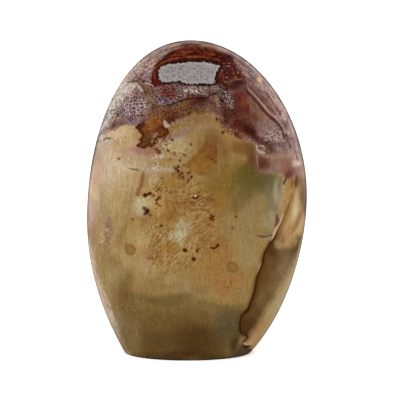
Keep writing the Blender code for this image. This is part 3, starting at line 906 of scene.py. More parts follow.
colour = spotted(
    colour, paint(196, 184, 160), "scratch_glints",
    (26, 46.3, 0.3), (27.2, 46.1, 0.35), (28.4, 46.3, 0.3), (29.2, 46.7, 0.3), (30.4, 47, 0.3),
    (24.4, 46.6, 0.2),
    edge=0.5, fray=0.1, most=0.75,
)


# The cap is plum, mauve and iron-red jasper, which ends in a ragged line above the tan body and runs round
# the back. Towards the crown it is finely banded, and the bands lie parallel to the outline.
ROSE_BROWN = paint(146, 114, 104)
ROSE_GREY = paint(140, 113, 110)
ROSE_HIGHLIGHT = paint(182, 152, 140)
PEACH_HIGHLIGHT = paint(206, 162, 128)
LILAC = paint(148, 124, 128)
GREY_PEARL = paint(154, 134, 126)
DUSKY_ROSE = paint(112, 82, 74)
PLUM = paint(114, 82, 78)
BLUE_PLUM = paint(100, 84, 98)
MAROON = paint(68, 24, 16)
RUST = paint(124, 74, 34)
COCOA = paint(94, 56, 38)
PINK_BROWN = paint(128, 90, 72)

CAP_WASHES = [
    # across, up, half width, half height, tilt, strength, colour
    # Painted highlights: the pale rose and peach strips that lie close to the rim.
    (-27, 112, 5, 5, 42, 0.6, ROSE_HIGHLIGHT),
    (-12, 122.6, 7, 1.8, 18, 0.5, GREY_PEARL),
    (-3, 124.4, 10, 1.4, 0, 0.9, paint(128, 78, 46)),
    (4.8, 123.8, 4, 1.4, -14, 0.9, paint(98, 52, 30)),
    (10, 121.4, 2, 0.9, -22, 0.8, PEACH_HIGHLIGHT),
    (13.6, 119.4, 4, 1.8, -34, 0.85, paint(112, 74, 66)),
    (16.8, 117, 4, 2, -46, 0.9, paint(144, 112, 106)),
    (-20, 116.4, 4, 2.4, 42, 0.9, ROSE_HIGHLIGHT),
    (-24, 112.8, 4, 2.6, 45, 0.9, paint(182, 156, 146)),
    (29, 106.6, 5, 2, -55, 0.8, paint(166, 138, 132)),
    (22, 111.6, 4, 2.6, -48, 0.7, LILAC),
    (26, 109.4, 2.2, 1.2, -50, 0.8, PEACH_HIGHLIGHT),
    (22, 107.4, 1.6, 3, 0, 0.8, BLUE_PLUM),
    (28, 104, 4, 1.8, -58, 0.85, paint(172, 146, 142)),
    (31.4, 102, 4, 1.4, -62, 0.6, ROSE_HIGHLIGHT),
    (34, 95.4, 4, 2, -62, 0.7, LILAC),
    (34, 98.8, 2.6, 1.2, -62, 0.7, ROSE_HIGHLIGHT),
    (37.5, 88, 6, 3, -72, 0.7, ROSE_GREY),
    (-26, 99, 9, 8, 0, 0.95, paint(132, 106, 106)),
    (-28.4, 101, 4, 4.4, 30, 0.8, paint(168, 144, 140)),
    (-23.6, 104, 3.4, 2.4, 0, 0.7, paint(160, 126, 122)),
    (-28.4, 109.4, 3, 2.4, 45, 0.9, paint(208, 184, 168)),
    (-22.6, 99.6, 3.4, 3, 0, 0.5, GREY_PEARL),
    (-25.4, 92.2, 1.8, 1.4, 0, 0.7, paint(150, 116, 100)),
    (-27, 96.6, 3.4, 2.2, 0, 0.6, LILAC),
    (-23.2, 105, 2, 1.8, 0, 0.6, paint(128, 78, 74)),
    (-18.4, 101.4, 2.8, 6, 0, 0.95, paint(132, 106, 88)),
    (-30.6, 92.6, 8, 2.2, 16, 0.9, paint(128, 96, 90)),
    (-36.4, 90.6, 3, 3, 40, 0.7, paint(132, 98, 90)),
    (-26.8, 92.9, 2.4, 1.3, 0, 0.7, BLUE_PLUM),
    (-34.6, 94.8, 2, 2.4, 40, 0.7, ROSE_HIGHLIGHT),
    (-19.2, 106, 2.4, 1.4, 0, 0.8, RUST),
    (-19.6, 111.4, 2.4, 2, 0, 0.8, LILAC),
    (-4, 104.6, 14, 3.6, 0, 0.95, DUSKY_ROSE),
    (-11, 105.4, 3.4, 2.4, 0, 0.9, paint(100, 44, 38)),
    (-13.6, 101.6, 2.8, 2.2, 0, 0.85, paint(98, 84, 98)),
    (-0.6, 105, 5, 1.8, 0, 0.8, paint(146, 124, 114)),
    (-1, 107, 8, 1, 0, 0.85, paint(112, 86, 80)),
    (0.2, 103.8, 4.6, 1.2, 2, 0.8, paint(172, 150, 138)),
    (5.4, 104.4, 2.4, 1.6, 0, 0.85, paint(88, 50, 34)),
    (-14, 98, 5, 3.2, 0, 0.95, paint(116, 80, 58)),
    (-3, 99, 9, 3.4, 5, 0.95, COCOA),
    (0.8, 100.7, 5.6, 1.7, 4, 0.97, paint(82, 34, 18)),
    (-3.6, 101, 2.6, 0.9, 0, 0.8, paint(128, 80, 42)),
    (-6.4, 99.4, 2.4, 1.4, 0, 0.85, paint(116, 84, 44)),
    (-1.2, 98.4, 2.2, 1.2, 0, 0.6, paint(112, 78, 72)),
    (7, 98.8, 4, 2.4, 0, 0.85, paint(96, 60, 42)),
    (3.4, 99, 1.8, 1.8, 0, 0.7, paint(118, 84, 72)),
    (-11, 96, 5, 2.6, 8, 0.95, paint(118, 62, 28)),
    (-9.8, 94, 2.4, 2.4, 0, 0.97, paint(78, 24, 8)),
    (-2, 96, 7, 1.8, 10, 0.9, paint(122, 76, 42)),
    (-5, 94.6, 3, 1.2, 20, 0.8, paint(112, 68, 42)),
    (5, 97, 2.4, 1.6, 0, 0.8, paint(128, 92, 66)),
    (-18.6, 100, 2.4, 2.2, 0, 0.7, paint(112, 86, 68)),
    (-18, 95.4, 3.4, 2, 0, 0.9, paint(124, 80, 46)),
    (-20.8, 92, 2, 1.6, 0, 0.9, paint(92, 44, 30)),
    (-12.6, 94.4, 1.8, 1.4, 0, 0.9, paint(78, 32, 12)),
    (9, 92.4, 2, 2.4, 0, 0.8, paint(108, 70, 46)),
    (19, 98, 10, 10, 0, 0.95, paint(108, 64, 52)),
    (26, 95.6, 8, 3.4, -52, 0.9, paint(136, 96, 82)),
    (30, 91.6, 4, 3.4, -50, 0.9, ROSE_BROWN),
    (36.6, 92.6, 2, 4, 28, 0.7, paint(166, 138, 134)),
    (25, 97, 3.4, 2.4, -50, 0.85, paint(172, 130, 110)),
    (32.6, 88.4, 2, 2.4, 0, 0.7, paint(166, 140, 134)),
    (27, 90.2, 3, 1.6, -30, 0.85, paint(130, 104, 98)),
    (23, 91.6, 2, 2.2, -40, 0.8, paint(138, 98, 82)),
    (29.6, 85.6, 4, 1.4, 0, 0.7, PLUM),
    (10, 103, 3, 4.4, 0, 0.8, paint(98, 66, 58)),
    (11, 96.4, 2.4, 4.4, 0, 0.95, paint(76, 34, 20)),
    (8.4, 101.6, 0.9, 2.4, -8, 0.95, paint(150, 112, 92)),
    (12.8, 99.6, 2, 3, 0, 0.85, paint(84, 46, 34)),
    (7.6, 94.4, 1.4, 2.4, 0, 0.7, paint(132, 92, 70)),
    (16.4, 107.8, 4.6, 1.8, 0, 0.97, paint(62, 20, 20)),
    (18.6, 105.2, 2.2, 1.2, 0, 0.7, PLUM),
    (17, 103.6, 3.4, 2.6, 0, 0.92, paint(96, 36, 24)),
    (16.6, 100, 3.6, 3, 0, 0.9, paint(104, 50, 32)),
    (18.6, 99, 2, 2.4, 0, 0.5, RUST),
    (19.4, 98, 1.6, 4, 0, 0.8, paint(114, 48, 30)),
    (23.4, 95.6, 2.6, 3, -30, 0.8, paint(142, 98, 76)),
    (20, 98.6, 0.8, 3, 0, 0.7, paint(132, 56, 28)),
    (22.6, 99.4, 2.6, 3.4, -40, 0.8, PINK_BROWN),
    (14.6, 96.8, 3, 2.4, 0, 0.9, paint(92, 46, 34)),
    (16.4, 93, 4.4, 2.4, 0, 0.95, paint(90, 36, 22)),
    (21, 92.4, 3, 2.4, -45, 0.8, COCOA),
    (21.6, 88.6, 5, 2, -42, 1.0, paint(76, 26, 10)),
    (29, 84, 6, 2.6, 0, 0.9, paint(88, 58, 52)),
    (26.4, 84.6, 4.4, 1.8, -14, 0.95, paint(78, 42, 36)),
    (28.6, 82.4, 2.2, 1.8, 0, 0.95, paint(90, 50, 42)),
    (11.4, 89.8, 4.4, 1.8, -20, 0.95, paint(138, 92, 52)),
    (15.6, 88, 3, 1.6, -25, 0.95, paint(138, 84, 44)),
    (18.6, 87.2, 2.4, 1.8, -25, 0.9, paint(122, 70, 36)),
    (29.6, 81.8, 5, 2.4, 0, 0.9, paint(98, 66, 54)),
    (32.4, 82.6, 1.4, 1.6, 0, 0.8, GREY_PEARL),
    (36, 84, 3, 3, 0, 0.5, PLUM),
    (38.2, 80.6, 4, 3, 0, 0.8, paint(160, 132, 124)),
    (35, 79.4, 8, 1.4, 0, 0.6, paint(150, 120, 100)),
    (24.4, 80.4, 3, 1.6, 0, 0.85, paint(108, 72, 48)),
    (28.4, 80, 3, 1, 0, 0.85, paint(100, 70, 58)),
]

cap = patch(
    "cap",
    [(-70, 80), (-42, 84), (-38.6, 86.4), (-36.6, 88.6), (-34, 89.4), (-31.6, 90.2), (-30.4, 91.3),
     (-27, 91.4), (-25, 90.8), (-22.5, 90.5), (-18, 90), (-14, 91.2), (-12, 92.2), (-10.6, 91.8),
     (-8.2, 93.2), (-5, 93.8), (-3.6, 95.4), (1, 96.2), (4, 96.6), (7, 96.6), (8, 94), (9, 91.4),
     (11.4, 88.8), (14, 87.4), (17, 85.8), (20, 84.8), (22.4, 84.4), (23.6, 82.4), (23.8, 79.4), (28, 79),
     (34, 78.4), (38, 77.8), (42, 75.6), (70, 76), (70, 160), (-70, 160)],
    on=DEEP,
)
# An oval like the outline gives the depth in from the rim. Broad bands come every 1.7 mm of it and fine ones
# every 0.8 mm.
OVAL_UP, OVAL_HALF_WIDTH, OVAL_HALF_HEIGHT = 70, 43, 55.5
OVAL_DEPTH = 48
inward = OVAL_DEPTH * (1 - np.hypot(across / OVAL_HALF_WIDTH, (up - OVAL_UP) / OVAL_HALF_HEIGHT))
depth_in = keep("depth_in", inward)
near_rim = step(depth_in, 11.0, 5.0)
broad_bands = maths("SINE", maths("MULTIPLY_ADD", swing(CLOUD, 1.0), 4.0, maths("MULTIPLY", depth_in, 3.7)))
fine_bands = maths("SINE", maths("MULTIPLY_ADD", FRAY, 0.9, maths("MULTIPLY", depth_in, 7.9)))
bands = maths("MULTIPLY_ADD", broad_bands, 0.08, maths("MULTIPLY_ADD", fine_bands, 0.06, MOTTLE))
crown_ground = keep("cap_wash", washed(ROSE_BROWN, CAP_WASHES, DEEP))
crown_ground = grained(crown_ground, MOTTLE, (0.68, 0.56, 0.5), (1.24, 1.3, 1.32), 0.85)
crown_ground = grained(crown_ground, bands, (0.66, 0.56, 0.54), (1.26, 1.3, 1.28), near_rim)
plain_share = thickly(
    "plain_jasper",
    (25, 96, 7, 7, 0.6), (40, 80, 5, 6, 0.5), (24, 104, 3, 6, 0.3), (17, 101, 4, 5, 0.6),
    (-30, 91, 8, 2, 0.6),
)
grain_share = maths("SUBTRACT", 1.0, plain_share)
crown_ground = grained(crown_ground, SPECK, (0.52, 0.42, 0.4), (1.36, 1.42, 1.38), grain_share)
coarse_share = thickly(
    "coarse_jasper",
    (-7, 97.6, 12, 5, 0.45), (-18, 101, 3, 6, 0.5), (13, 95, 6, 5, 0.6), (14, 88.8, 6, 2.6, 0.9),
    (-30, 93, 8, 3, 0.7), (11, 101, 4, 5, 0.8),
)
crown_ground = grained(crown_ground, SPECK, (0.5, 0.4, 0.38), (1.45, 1.48, 1.4), coarse_share)
crown_ground = motley(crown_ground, 1.0, 0.24, grain_share)
dark_share = maths("MULTIPLY", coarse_share, 0.75)
crown_ground = peppered(crown_ground, paint(34, 12, 8), PINS, dark_share, 0.85)
pale_share = maths("MULTIPLY", coarse_share, 0.6)
crown_ground = peppered(crown_ground, paint(176, 122, 92), OTHER_PINS, pale_share, 0.5)
crown_ground = grained(crown_ground, upright, (0.8, 0.76, 0.76), (1.16, 1.18, 1.18), plain_share)
cap_share = cover(maths("MULTIPLY_ADD", swing(GRIT, 1.0), 1.5, cap), 1.3, fray=0.9)
colour = over(colour, crown_ground, cap_share)

plum_block = patch(
    "plum_block",
    [(23.7, 79.2), (28.6, 78.9), (34, 78.5), (38, 77.9), (42, 76.6), (50, 76.4), (50, 71.6), (44, 71.2),
     (40.4, 71.8), (38.4, 70.8), (36.6, 70.2), (35, 71.2), (33.4, 72.6), (29, 72.7), (25.4, 72.9),
     (24, 73.8), (23.6, 76)],
    on=DEEP,
)
plum_ground = keep("plum_wash", washed(paint(140, 104, 90), [
    # across, up, half width, half height, tilt, strength, colour
    (25, 76, 3.2, 3.6, 0, 0.97, paint(88, 40, 32)),
    (24.4, 79, 2, 1.4, 0, 0.7, paint(108, 68, 52)),
    (31, 75.4, 2.4, 2.8, 0, 0.8, paint(150, 116, 104)),
    (34.8, 75.8, 1.8, 2.4, 0, 0.8, paint(138, 84, 72)),
    (37, 72.8, 1.5, 2.8, 0, 0.95, paint(102, 44, 50)),
    # Painted highlight: a small white glow near the right rim.
    (39.2, 77, 1.5, 1.6, 0, 1.0, paint(220, 196, 182)),
    (40, 73.6, 1.6, 2, 0, 0.8, paint(146, 114, 112)),
    (43, 74, 2, 4, 0, 0.9, paint(178, 138, 108)),
], DEEP))
plum_ground = grained(plum_ground, upright, (0.86, 0.82, 0.82), (1.12, 1.14, 1.14))
plum_ground = grained(plum_ground, GRIT, (0.84, 0.78, 0.78), (1.1, 1.12, 1.12))
plum_fade = keep("plum_fade", ((across - 22.4) / 2.4).clip(0, 1))
plum_share = maths("MULTIPLY", cover(plum_block, 2.0, 0.3, fray=0.5, most=0.94), plum_fade)
colour = over(colour, plum_ground, plum_share)


# Round the crown lies dark, iron-red jasper with thin orange bands, which follow the rim of the grey quartz.
iron_ground = grained(paint(82, 22, 9), MOTTLE, (0.62, 0.5, 0.5), (1.4, 1.5, 1.5))
iron_ground = grained(iron_ground, bands, (0.55, 0.45, 0.45), (1.4, 1.5, 1.4), near_rim)
iron_ground = grained(iron_ground, SPECK, (0.36, 0.28, 0.28), (1.4, 1.6, 1.7))
colour = patched(
    colour, iron_ground, "iron_ring",
    [(-18.2, 106.6), (-18.2, 112), (-17.2, 115), (-15, 117.4), (-12, 120), (-8.6, 122), (-4, 123.2),
     (0, 123.5), (4, 122.6), (8.5, 121.2), (11.4, 120.6), (14, 118.9), (15.2, 116), (17.2, 112.6),
     (19.4, 110.7), (19, 110.2), (15, 110.2), (13, 109.4), (12.4, 107.4), (12.6, 105.4), (10.8, 106.6),
     (8.4, 107.6), (3, 107.4), (-3, 107.5), (-9, 108.2), (-14, 107), (-16.4, 106.6)],
    edge=1.4, fray=0.5,
)
flecks = patch(
    "flecks",
    [(9.4, 116), (14, 118), (17, 113), (19.6, 110.6), (14, 109.6), (11, 106.6), (9, 110)],
)
fleck_share = cover(flecks, 3.0)
colour = over(colour, paint(66, 24, 16), maths("MULTIPLY", fleck_share, 0.55))
colour = grained(colour, SPECK, (0.36, 0.3, 0.3), (1.7, 1.8, 1.9), fleck_share)
colour = peppered(colour, paint(170, 122, 112), OTHER_PINS, maths("MULTIPLY", fleck_share, 0.72), 0.7)
colour = lined(
    colour, paint(66, 28, 18), "outer_line",
    [(-9.4, 122.6), (-6, 123.2), (-3, 123.8), (1, 123.9), (4, 123.3), (7.4, 121.8)],
    width=0.9, edge=0.7, fray=0.3, most=0.8,
)
orange = grained(paint(148, 74, 36), noise(2.0, 3), (0.5, 0.4, 0.4), (1.3, 1.5, 1.5))
orange = grained(orange, SPECK, (0.6, 0.5, 0.5), (1.2, 1.3, 1.3))
colour = lined(
    colour, orange, "orange_bands",
    [(-17, 110.4), (-17.1, 112.6), (-16.6, 114.4), (-14.6, 116), (-12, 117.4), (-9.4, 118.3), (-6, 118.6),
     (-2, 118.9), (2, 118.8), (5.6, 118.3), (8.8, 117.5), (10.6, 116.8)],
    [(12.8, 106.8), (13, 108.6), (14.2, 109.7), (16.4, 110), (18.8, 109.8), (19.9, 108.8), (20.1, 107.6)],
    width=0.6, edge=0.6, fray=0.45, most=0.75,
)
colour = lined(
    colour, orange, "rust_bands",
    [(-11, 119.2), (-8.6, 119.6), (-6, 119.7), (-4.6, 119.3)],
    [(-6.8, 121.7), (-5.4, 120.9), (-3.6, 120.7), (-1.8, 121.1), (-0.4, 122.1)],
    [(-3.2, 122.4), (-1, 122.8), (1.6, 122.6), (3, 121.8)],
    [(2.6, 120.6), (5, 120), (8, 119.2)],
    width=0.6, edge=0.6, fray=0.4, most=0.5,
)
# Painted highlights: pale peach streaks along the crown's rim.
colour = lined(
    colour, paint(200, 150, 110), "crown_rim_highlights",
    [(1.6, 123.7), (4, 123.4), (7, 122.6)],
    [(8.6, 121.9), (10, 121.6), (11.6, 121)],
    [(-10.6, 122.8), (-8, 123.6), (-6.6, 123.7)],
    width=0.8, edge=0.7, fray=0.3, most=0.4,
)


# A window of grey quartz sits in the iron-red ring, with a near-black, ragged rim.
window = patch(
    "window",
    [(-15.3, 112), (-15, 113.8), (-14, 114.9), (-11.6, 115.8), (-9.6, 116), (-8, 116.3), (-6, 116.4),
     (-4.6, 116.7), (-2, 116.7), (0, 116.7), (3, 116.7), (5, 116.3), (7, 115.9), (9, 115.4), (8.7, 114.6),
     (8, 113.4), (7.4, 112), (7.1, 110.4), (7.1, 109), (6.6, 108.3), (4.6, 108), (2, 108.2), (-1, 108.2),
     (-4, 108.2), (-5.6, 108.7), (-7.3, 109.4), (-9, 109.2), (-11, 108.8), (-13.4, 108.8), (-14.8, 110)],
)
spikes = swing(noise(0.55, 2, 0.6, 0.0, (1, 1, 3)), 0.8)
window = maths("ADD", window, spikes)
rim_fade = keep("rim_fade", ((across + 14.8) / 2.8).clip(0, 1))
black_rim = maths("MULTIPLY", cover(window, 0.45, 0.75, fray=0.35), rim_fade)
colour = over(colour, paint(58, 18, 8), cover(window, 1.3, 0.8, most=0.75))
colour = over(colour, paint(20, 4, 1), black_rim)
quartz = stained(SPECK, (0.3, paint(88, 82, 78)), (0.43, paint(142, 135, 132)), (0.62, paint(176, 170, 168)))
quartz = grained(quartz, MOTTLE, (0.94, 0.92, 0.94), (1.04, 1.06, 1.0))
window_share = cover(window, 0.3)
colour = over(colour, quartz, window_share)
window_lip = maths("MULTIPLY", step(window, -1.2, -0.5), window_share)
colour = over(colour, paint(186, 176, 168), maths("MULTIPLY", window_lip, 0.5))


# Speckled jasper fills the left of the cap, a band below the quartz and two patches at the right: near-black
# and pale pink grains, under a millimetre each. A pale, porous wedge with dark cracks lies against the left
# edge.
speckles = patch(
    "speckles",
    [(-32, 97.6), (-30.6, 100.6), (-28.5, 103.6), (-25, 106.4), (-23, 106.6), (-21.4, 105), (-20.2, 102.5),
     (-20, 100), (-20.6, 96.8), (-22, 95), (-24.5, 94.4), (-28, 95), (-30.6, 96)],
    [(-15.6, 106.4), (-12, 107.6), (-9, 107.8), (-4, 107.2), (3, 107), (7, 107.4), (8.2, 106), (6, 104.4),
     (4, 103.2), (2, 102.6), (-2, 102.6), (-5, 102), (-8, 100.8), (-12, 99.6), (-15, 99.4), (-16.4, 101),
     (-16.6, 104)],
    [(9, 107.2), (11, 106.6), (13, 105), (14.2, 102.6), (14.8, 99.8), (14.6, 98), (13.2, 97.8), (11.4, 100),
     (9.6, 102.6), (8.8, 105)],
)
speckle_share = cover(speckles, 1.6, fray=0.8)
colour = grained(colour, SPECK, (0.14, 0.08, 0.1), (1.74, 1.8, 1.9), speckle_share)
pearl_patch = patch(
    "pearl_patch",
    [(27.4, 88.6), (29.4, 89.6), (32, 89.8), (33.8, 88.4), (33.6, 86), (32, 84.8), (29.6, 84.8),
     (27.4, 85.6), (26.6, 87)],
)
pearl_share = cover(pearl_patch, 2.0, fray=0.8)
pearl = stained(SPECK, (0.4, paint(84, 44, 42)), (0.52, paint(138, 114, 110)), (0.64, paint(200, 186, 180)))
colour = over(colour, pearl, maths("MULTIPLY", pearl_share, 0.65))
grey_ground = stained(SPECK, (0.42, paint(34, 20, 18)), (0.52, paint(98, 78, 72)),
                      (0.64, paint(186, 168, 158)))
colour = patched(
    colour, grey_ground, "grey_strip",
    [(8.6, 107.4), (10.6, 107), (13, 104.6), (14.4, 101.6), (14.6, 98.4), (13.4, 98), (11.6, 100.6),
     (9.6, 103.6)],
    edge=1.4, fray=0.6, most=0.8,
)
colour = lined(
    colour, paint(44, 14, 6), "band_hem",
    [(-16.2, 99), (-12, 99.3), (-8, 100.6), (-5, 101.8), (-2, 102.2), (3, 102.3), (5, 103.2), (7.6, 104.4)],
    [(8.6, 107.3), (10.4, 106.4), (12.6, 105.6)],
    [(8.8, 102.8), (9.8, 101.4), (11.4, 100.2)],
    width=0.9, edge=0.6, fray=0.4, most=0.85,
)
wedge = patch(
    "wedge",
    [(-50, 110), (-31, 109.4), (-28, 109), (-24.2, 108.5), (-22.4, 107), (-21.2, 105.6), (-22.8, 106),
     (-25, 106.4), (-27, 105), (-28.6, 103.4), (-30.2, 101), (-31.4, 98.6), (-32.8, 96.4), (-34.4, 94.2),
     (-35.6, 92.6), (-36.8, 91), (-38, 89), (-39.4, 87), (-50, 86)],
    on=DEEP,
)
wedge_ground = stained(GRIT, (0.36, paint(140, 118, 102)), (0.48, paint(204, 190, 174)),
                       (0.62, paint(236, 228, 216)))
wedge_ground = grained(wedge_ground, SPECK, (0.7, 0.64, 0.6), (1.12, 1.13, 1.14))
feathers = swing(noise(1.6, 2, 0.6, 0.3, (4, 4, 1), -48), 1.6)
wedge_share = cover(maths("ADD", wedge, feathers), 2.4, fray=1.0)
colour = over(colour, wedge_ground, maths("MULTIPLY", wedge_share, 0.92))
wedge_cracks = line(
    "wedge_cracks",
    [(-37.7, 92.2), (-37, 94), (-36.1, 96), (-35.5, 97.2)],
    [(-34.1, 101.6), (-33.3, 103)],
    [(-36, 97.2), (-34.6, 96.9), (-33.2, 97.4)],
    [(-34, 94.6), (-32, 95.4), (-30.4, 95.4)],
)
pore_share = maths("MULTIPLY", along(wedge_cracks, 1.6, 0.8, fray=0.8), step(GRIT, 0.58, 0.48, 0.9))
colour = over(colour, paint(54, 38, 30), pore_share)


# A coffee-brown chip with a jagged rim hangs down from the cap into the tan body. It has an ochre spot at its
# top and a cream finger beside it.
chip = patch(
    "chip",
    [(-24.1, 90.8), (-23.4, 90), (-22.8, 89.1), (-21.9, 88.4), (-21.8, 87.2), (-22.4, 86), (-22.4, 84.6),
     (-23.4, 83.8), (-23.7, 83.1), (-22, 82.5), (-20.6, 82.4), (-19.8, 83.1), (-18.4, 83.4), (-17, 84.2),
     (-17.2, 85.3), (-16.4, 85.8), (-16, 86.7), (-14.3, 86.8), (-12.4, 87.3), (-12.1, 88.2), (-12.6, 88.7),
     (-11.5, 89), (-11.7, 89.8), (-13.2, 90.4), (-13.7, 91.8), (-14, 93.3), (-15, 93), (-17, 92),
     (-20, 91.8), (-22.5, 91.8)],
)
chip = maths("ADD", chip, swing(GRIT, 0.55))
colour = over(colour, paint(80, 28, 8), cover(chip, 0.5, 0.45, fray=0.4))
chip_ground = keep("chip_wash", washed(paint(88, 46, 14), [
    # across, up, half width, half height, tilt, strength, colour
    (-21.2, 85.6, 2.4, 3, 0, 0.95, paint(98, 66, 32)),
    (-18.4, 87.4, 2, 2, 0, 0.7, paint(88, 54, 24)),
    (-14.8, 89, 2.8, 2.6, 0, 0.9, paint(116, 58, 22)),
    (-16.6, 87.6, 2, 1.4, 0, 0.85, paint(138, 90, 48)),
    (-22.8, 90, 1.4, 1.2, 0, 0.8, paint(72, 28, 12)),
    (-19.4, 89, 1.6, 1.4, 0, 0.8, paint(116, 70, 26)),
], FACE))
chip_ground = grained(chip_ground, GRIT, (0.66, 0.6, 0.56), (1.3, 1.34, 1.4))
chip_ground = grained(chip_ground, SPECK, (0.74, 0.7, 0.66), (1.2, 1.24, 1.3))
colour = over(colour, chip_ground, cover(chip, 0.8, -0.45, fray=0.4))
ochre_spot = patch(
    "ochre_spot",
    [(-20.6, 92.4), (-18.8, 93.8), (-16.6, 94.4), (-14.6, 93.8), (-14.2, 92.4), (-15.2, 91.2),
     (-16.4, 90.2), (-18, 89), (-19.8, 89.8), (-20.6, 91)],
)
ochre = grained(paint(146, 86, 32), MOTTLE, (0.74, 0.64, 0.5), (1.14, 1.2, 1.3))
ochre = grained(ochre, SPECK, (0.7, 0.62, 0.5), (1.2, 1.3, 1.5))
ochre_share = cover(maths("ADD", ochre_spot, swing(GRIT, 0.8)), 1.4, fray=0.8, most=0.92)
colour = over(colour, ochre, ochre_share)
cream = grained(paint(196, 166, 142), SPECK, (0.76, 0.72, 0.7), (1.14, 1.18, 1.2))
colour = patched(
    colour, cream, "cream_finger",
    [(-13.8, 93.2), (-12.4, 93.4), (-11.8, 92.3), (-10.7, 91.4), (-11, 90.7), (-12.2, 90.2), (-13.1, 90.7),
     (-13.6, 92)],
    edge=0.8, grow=-0.2, fray=0.5, most=0.9,
)
colour = spotted(
    colour, paint(176, 134, 100), "chip_beads",
    (-16.2, 88.1, 0.5), (-17, 87, 0.55), (-17.9, 84.9, 0.5), (-21.2, 90.2, 0.3),
    edge=0.6, fray=0.2, most=0.9,
)


# A pale flow line with dark lines beside it comes down the right of the cap. Below it lie a dark maroon edge
# and a small pale bead with a plum-brown eye.
maroon = grained(MAROON, MOTTLE, (0.6, 0.5, 0.5), (1.5, 1.6, 1.6))
colour = patched(
    colour, maroon, "maroon_edge",
    [(16, 92.2), (19.5, 92), (21, 90.6), (22.4, 89), (23.8, 87.6), (24.6, 86.4), (24.8, 85.2), (23.8, 84.8),
     (22.5, 85.6), (21.5, 86.8), (20.3, 88.2), (18.6, 89.4), (16, 90.4)],
    edge=2.6, fray=1.0, most=0.7,
)
colour = lined(
    colour, paint(94, 32, 20), "wine_streak",
    [(14, 89), (15.4, 88.2), (16.6, 86.9), (18, 86.3)],
    [(14, 91.4), (16, 91), (19, 91)],
    [(20.4, 100), (20.4, 97.4), (20.5, 95.4)],
    width=1.2, edge=0.9, fray=0.5, most=0.75,
)
FLOW_ROUTE = [(20.2, 109), (20.3, 107), (20.8, 105.7), (22.6, 103.9), (24, 102.4), (26.6, 99.3), (28.2, 97.3),
              (30, 95.7), (32, 94), (33.4, 92.4), (34.6, 90.6)]
colour = lined(
    colour, paint(74, 36, 34), "flow_shade",
    [(a - 0.75, b - 0.75) for a, b in FLOW_ROUTE[1:]] + [(34.4, 88), (34.8, 86)],
    width=1.4, edge=0.8, fray=0.3, most=0.88,
)
colour = lined(
    colour, paint(92, 60, 62), "flow_rim",
    [(a + 0.85, b + 0.75) for a, b in FLOW_ROUTE[2:8]],
    width=0.9, edge=0.6, fray=0.2, most=0.7,
)
colour = lined(
    colour, paint(184, 142, 128), "flow",
    FLOW_ROUTE,
    width=0.55, edge=0.5, fray=0.15, most=0.9,
)

bead_ground = stained(SPECK, (0.4, paint(110, 74, 62)), (0.6, paint(188, 164, 146)))
colour = patched(
    colour, bead_ground, "bead",
    [(24.2, 83.4), (25.6, 83.6), (26.8, 82.2), (26.6, 80.6), (24.8, 80), (24.2, 81.8)],
    edge=1.2, fray=0.4, most=0.65,
)
colour = lined(
    colour, paint(202, 178, 158), "bead_edge",
    [(23.8, 84.4), (23.9, 82.6), (24.6, 81.2), (26, 80.6), (27.4, 80.4)],
    [(25.2, 83.2), (26.6, 83), (27.2, 82)],
    width=0.6, edge=0.5, fray=0.4, most=0.65,
)
colour = lined(
    colour, paint(84, 48, 48), "bead_eye",
    [(24.4, 82.4), (25.2, 82.5), (25.8, 82)],
    width=1.0, edge=0.6, fray=0.3, most=0.8,
)
colour = lined(
    colour, paint(168, 136, 108), "level_lines",
    [(28, 79.6), (31, 79.7), (34, 80), (37, 80.4)],
    [(26, 79.2), (30, 78.8), (34, 78.7), (38, 79)],
    width=1.1, edge=1.1, fray=0.6, most=0.4,
)
colour = lined(
    colour, paint(172, 142, 112), "block_edge",
    [(23.7, 84.4), (23.9, 81), (24.1, 77.6), (24.5, 74)],
    width=0.5, edge=0.5, fray=0.4, most=0.35,
)


# Brown cracks cross the left of the cap and the tan body below it, with a white chip and white flakes beside
# them, a painted highlight below the crack on the left rim, and a streak and a wedge of rust.
colour = lined(
    colour, paint(84, 48, 36), "cap_cracks",
    [(-28.4, 109), (-26.4, 108.9), (-24, 109), (-22.5, 107.5), (-21, 105.5), (-20.5, 103)],
    [(-24, 110.6), (-20, 108.8), (-16.4, 106.6)],
    [(8.4, 107.4), (11, 105.8), (12.8, 104.6)],
    width=0.8, edge=0.5, fray=0.3, most=0.85,
)
body_cracks = line(
    "body_cracks",
    [(-37.3, 85), (-36.9, 85.9), (-35.8, 86.2), (-34, 86)],
    [(-27.4, 74.3), (-25.8, 73.8), (-24.4, 73.7), (-23, 73.3)],
)
crack_share = along(body_cracks, 0.7, 0.5, fray=0.2, most=0.7)
colour = over(colour, paint(72, 54, 32), crack_share)
# The first route is a painted highlight below the crack on the left rim, the second a white chip.
colour = lined(
    colour, paint(222, 212, 194), "white_chip_and_glint",
    [(-36.8, 84.9), (-36, 85.2), (-35.2, 84.6)],
    [(-20.6, 108.6), (-18.8, 107.8), (-17.4, 106.9)],
    width=0.5, edge=0.6, fray=0.4, most=0.8,
)
white_flakes = patch(
    "white_flakes",
    [(-18.6, 79.4), (-16.6, 80), (-14, 79.9), (-11.8, 79), (-13.4, 78), (-15, 77.5), (-15.6, 76.2),
     (-16.8, 76.6), (-16.4, 77.9), (-18, 78.4)],
)
flake_share = maths("MULTIPLY", cover(white_flakes, 1.4, fray=0.9), step(SPECK, 0.46, 0.56, 0.7))
colour = over(colour, paint(206, 190, 168), flake_share)
colour = lined(
    colour, paint(126, 80, 42), "rust_streak",
    [(-21.6, 72.8), (-21.8, 70.6), (-22.2, 68.2), (-23, 66)],
    [(-23.6, 65.2), (-23.8, 63)],
    width=1.7, edge=1.2, fray=0.5, most=0.8,
)
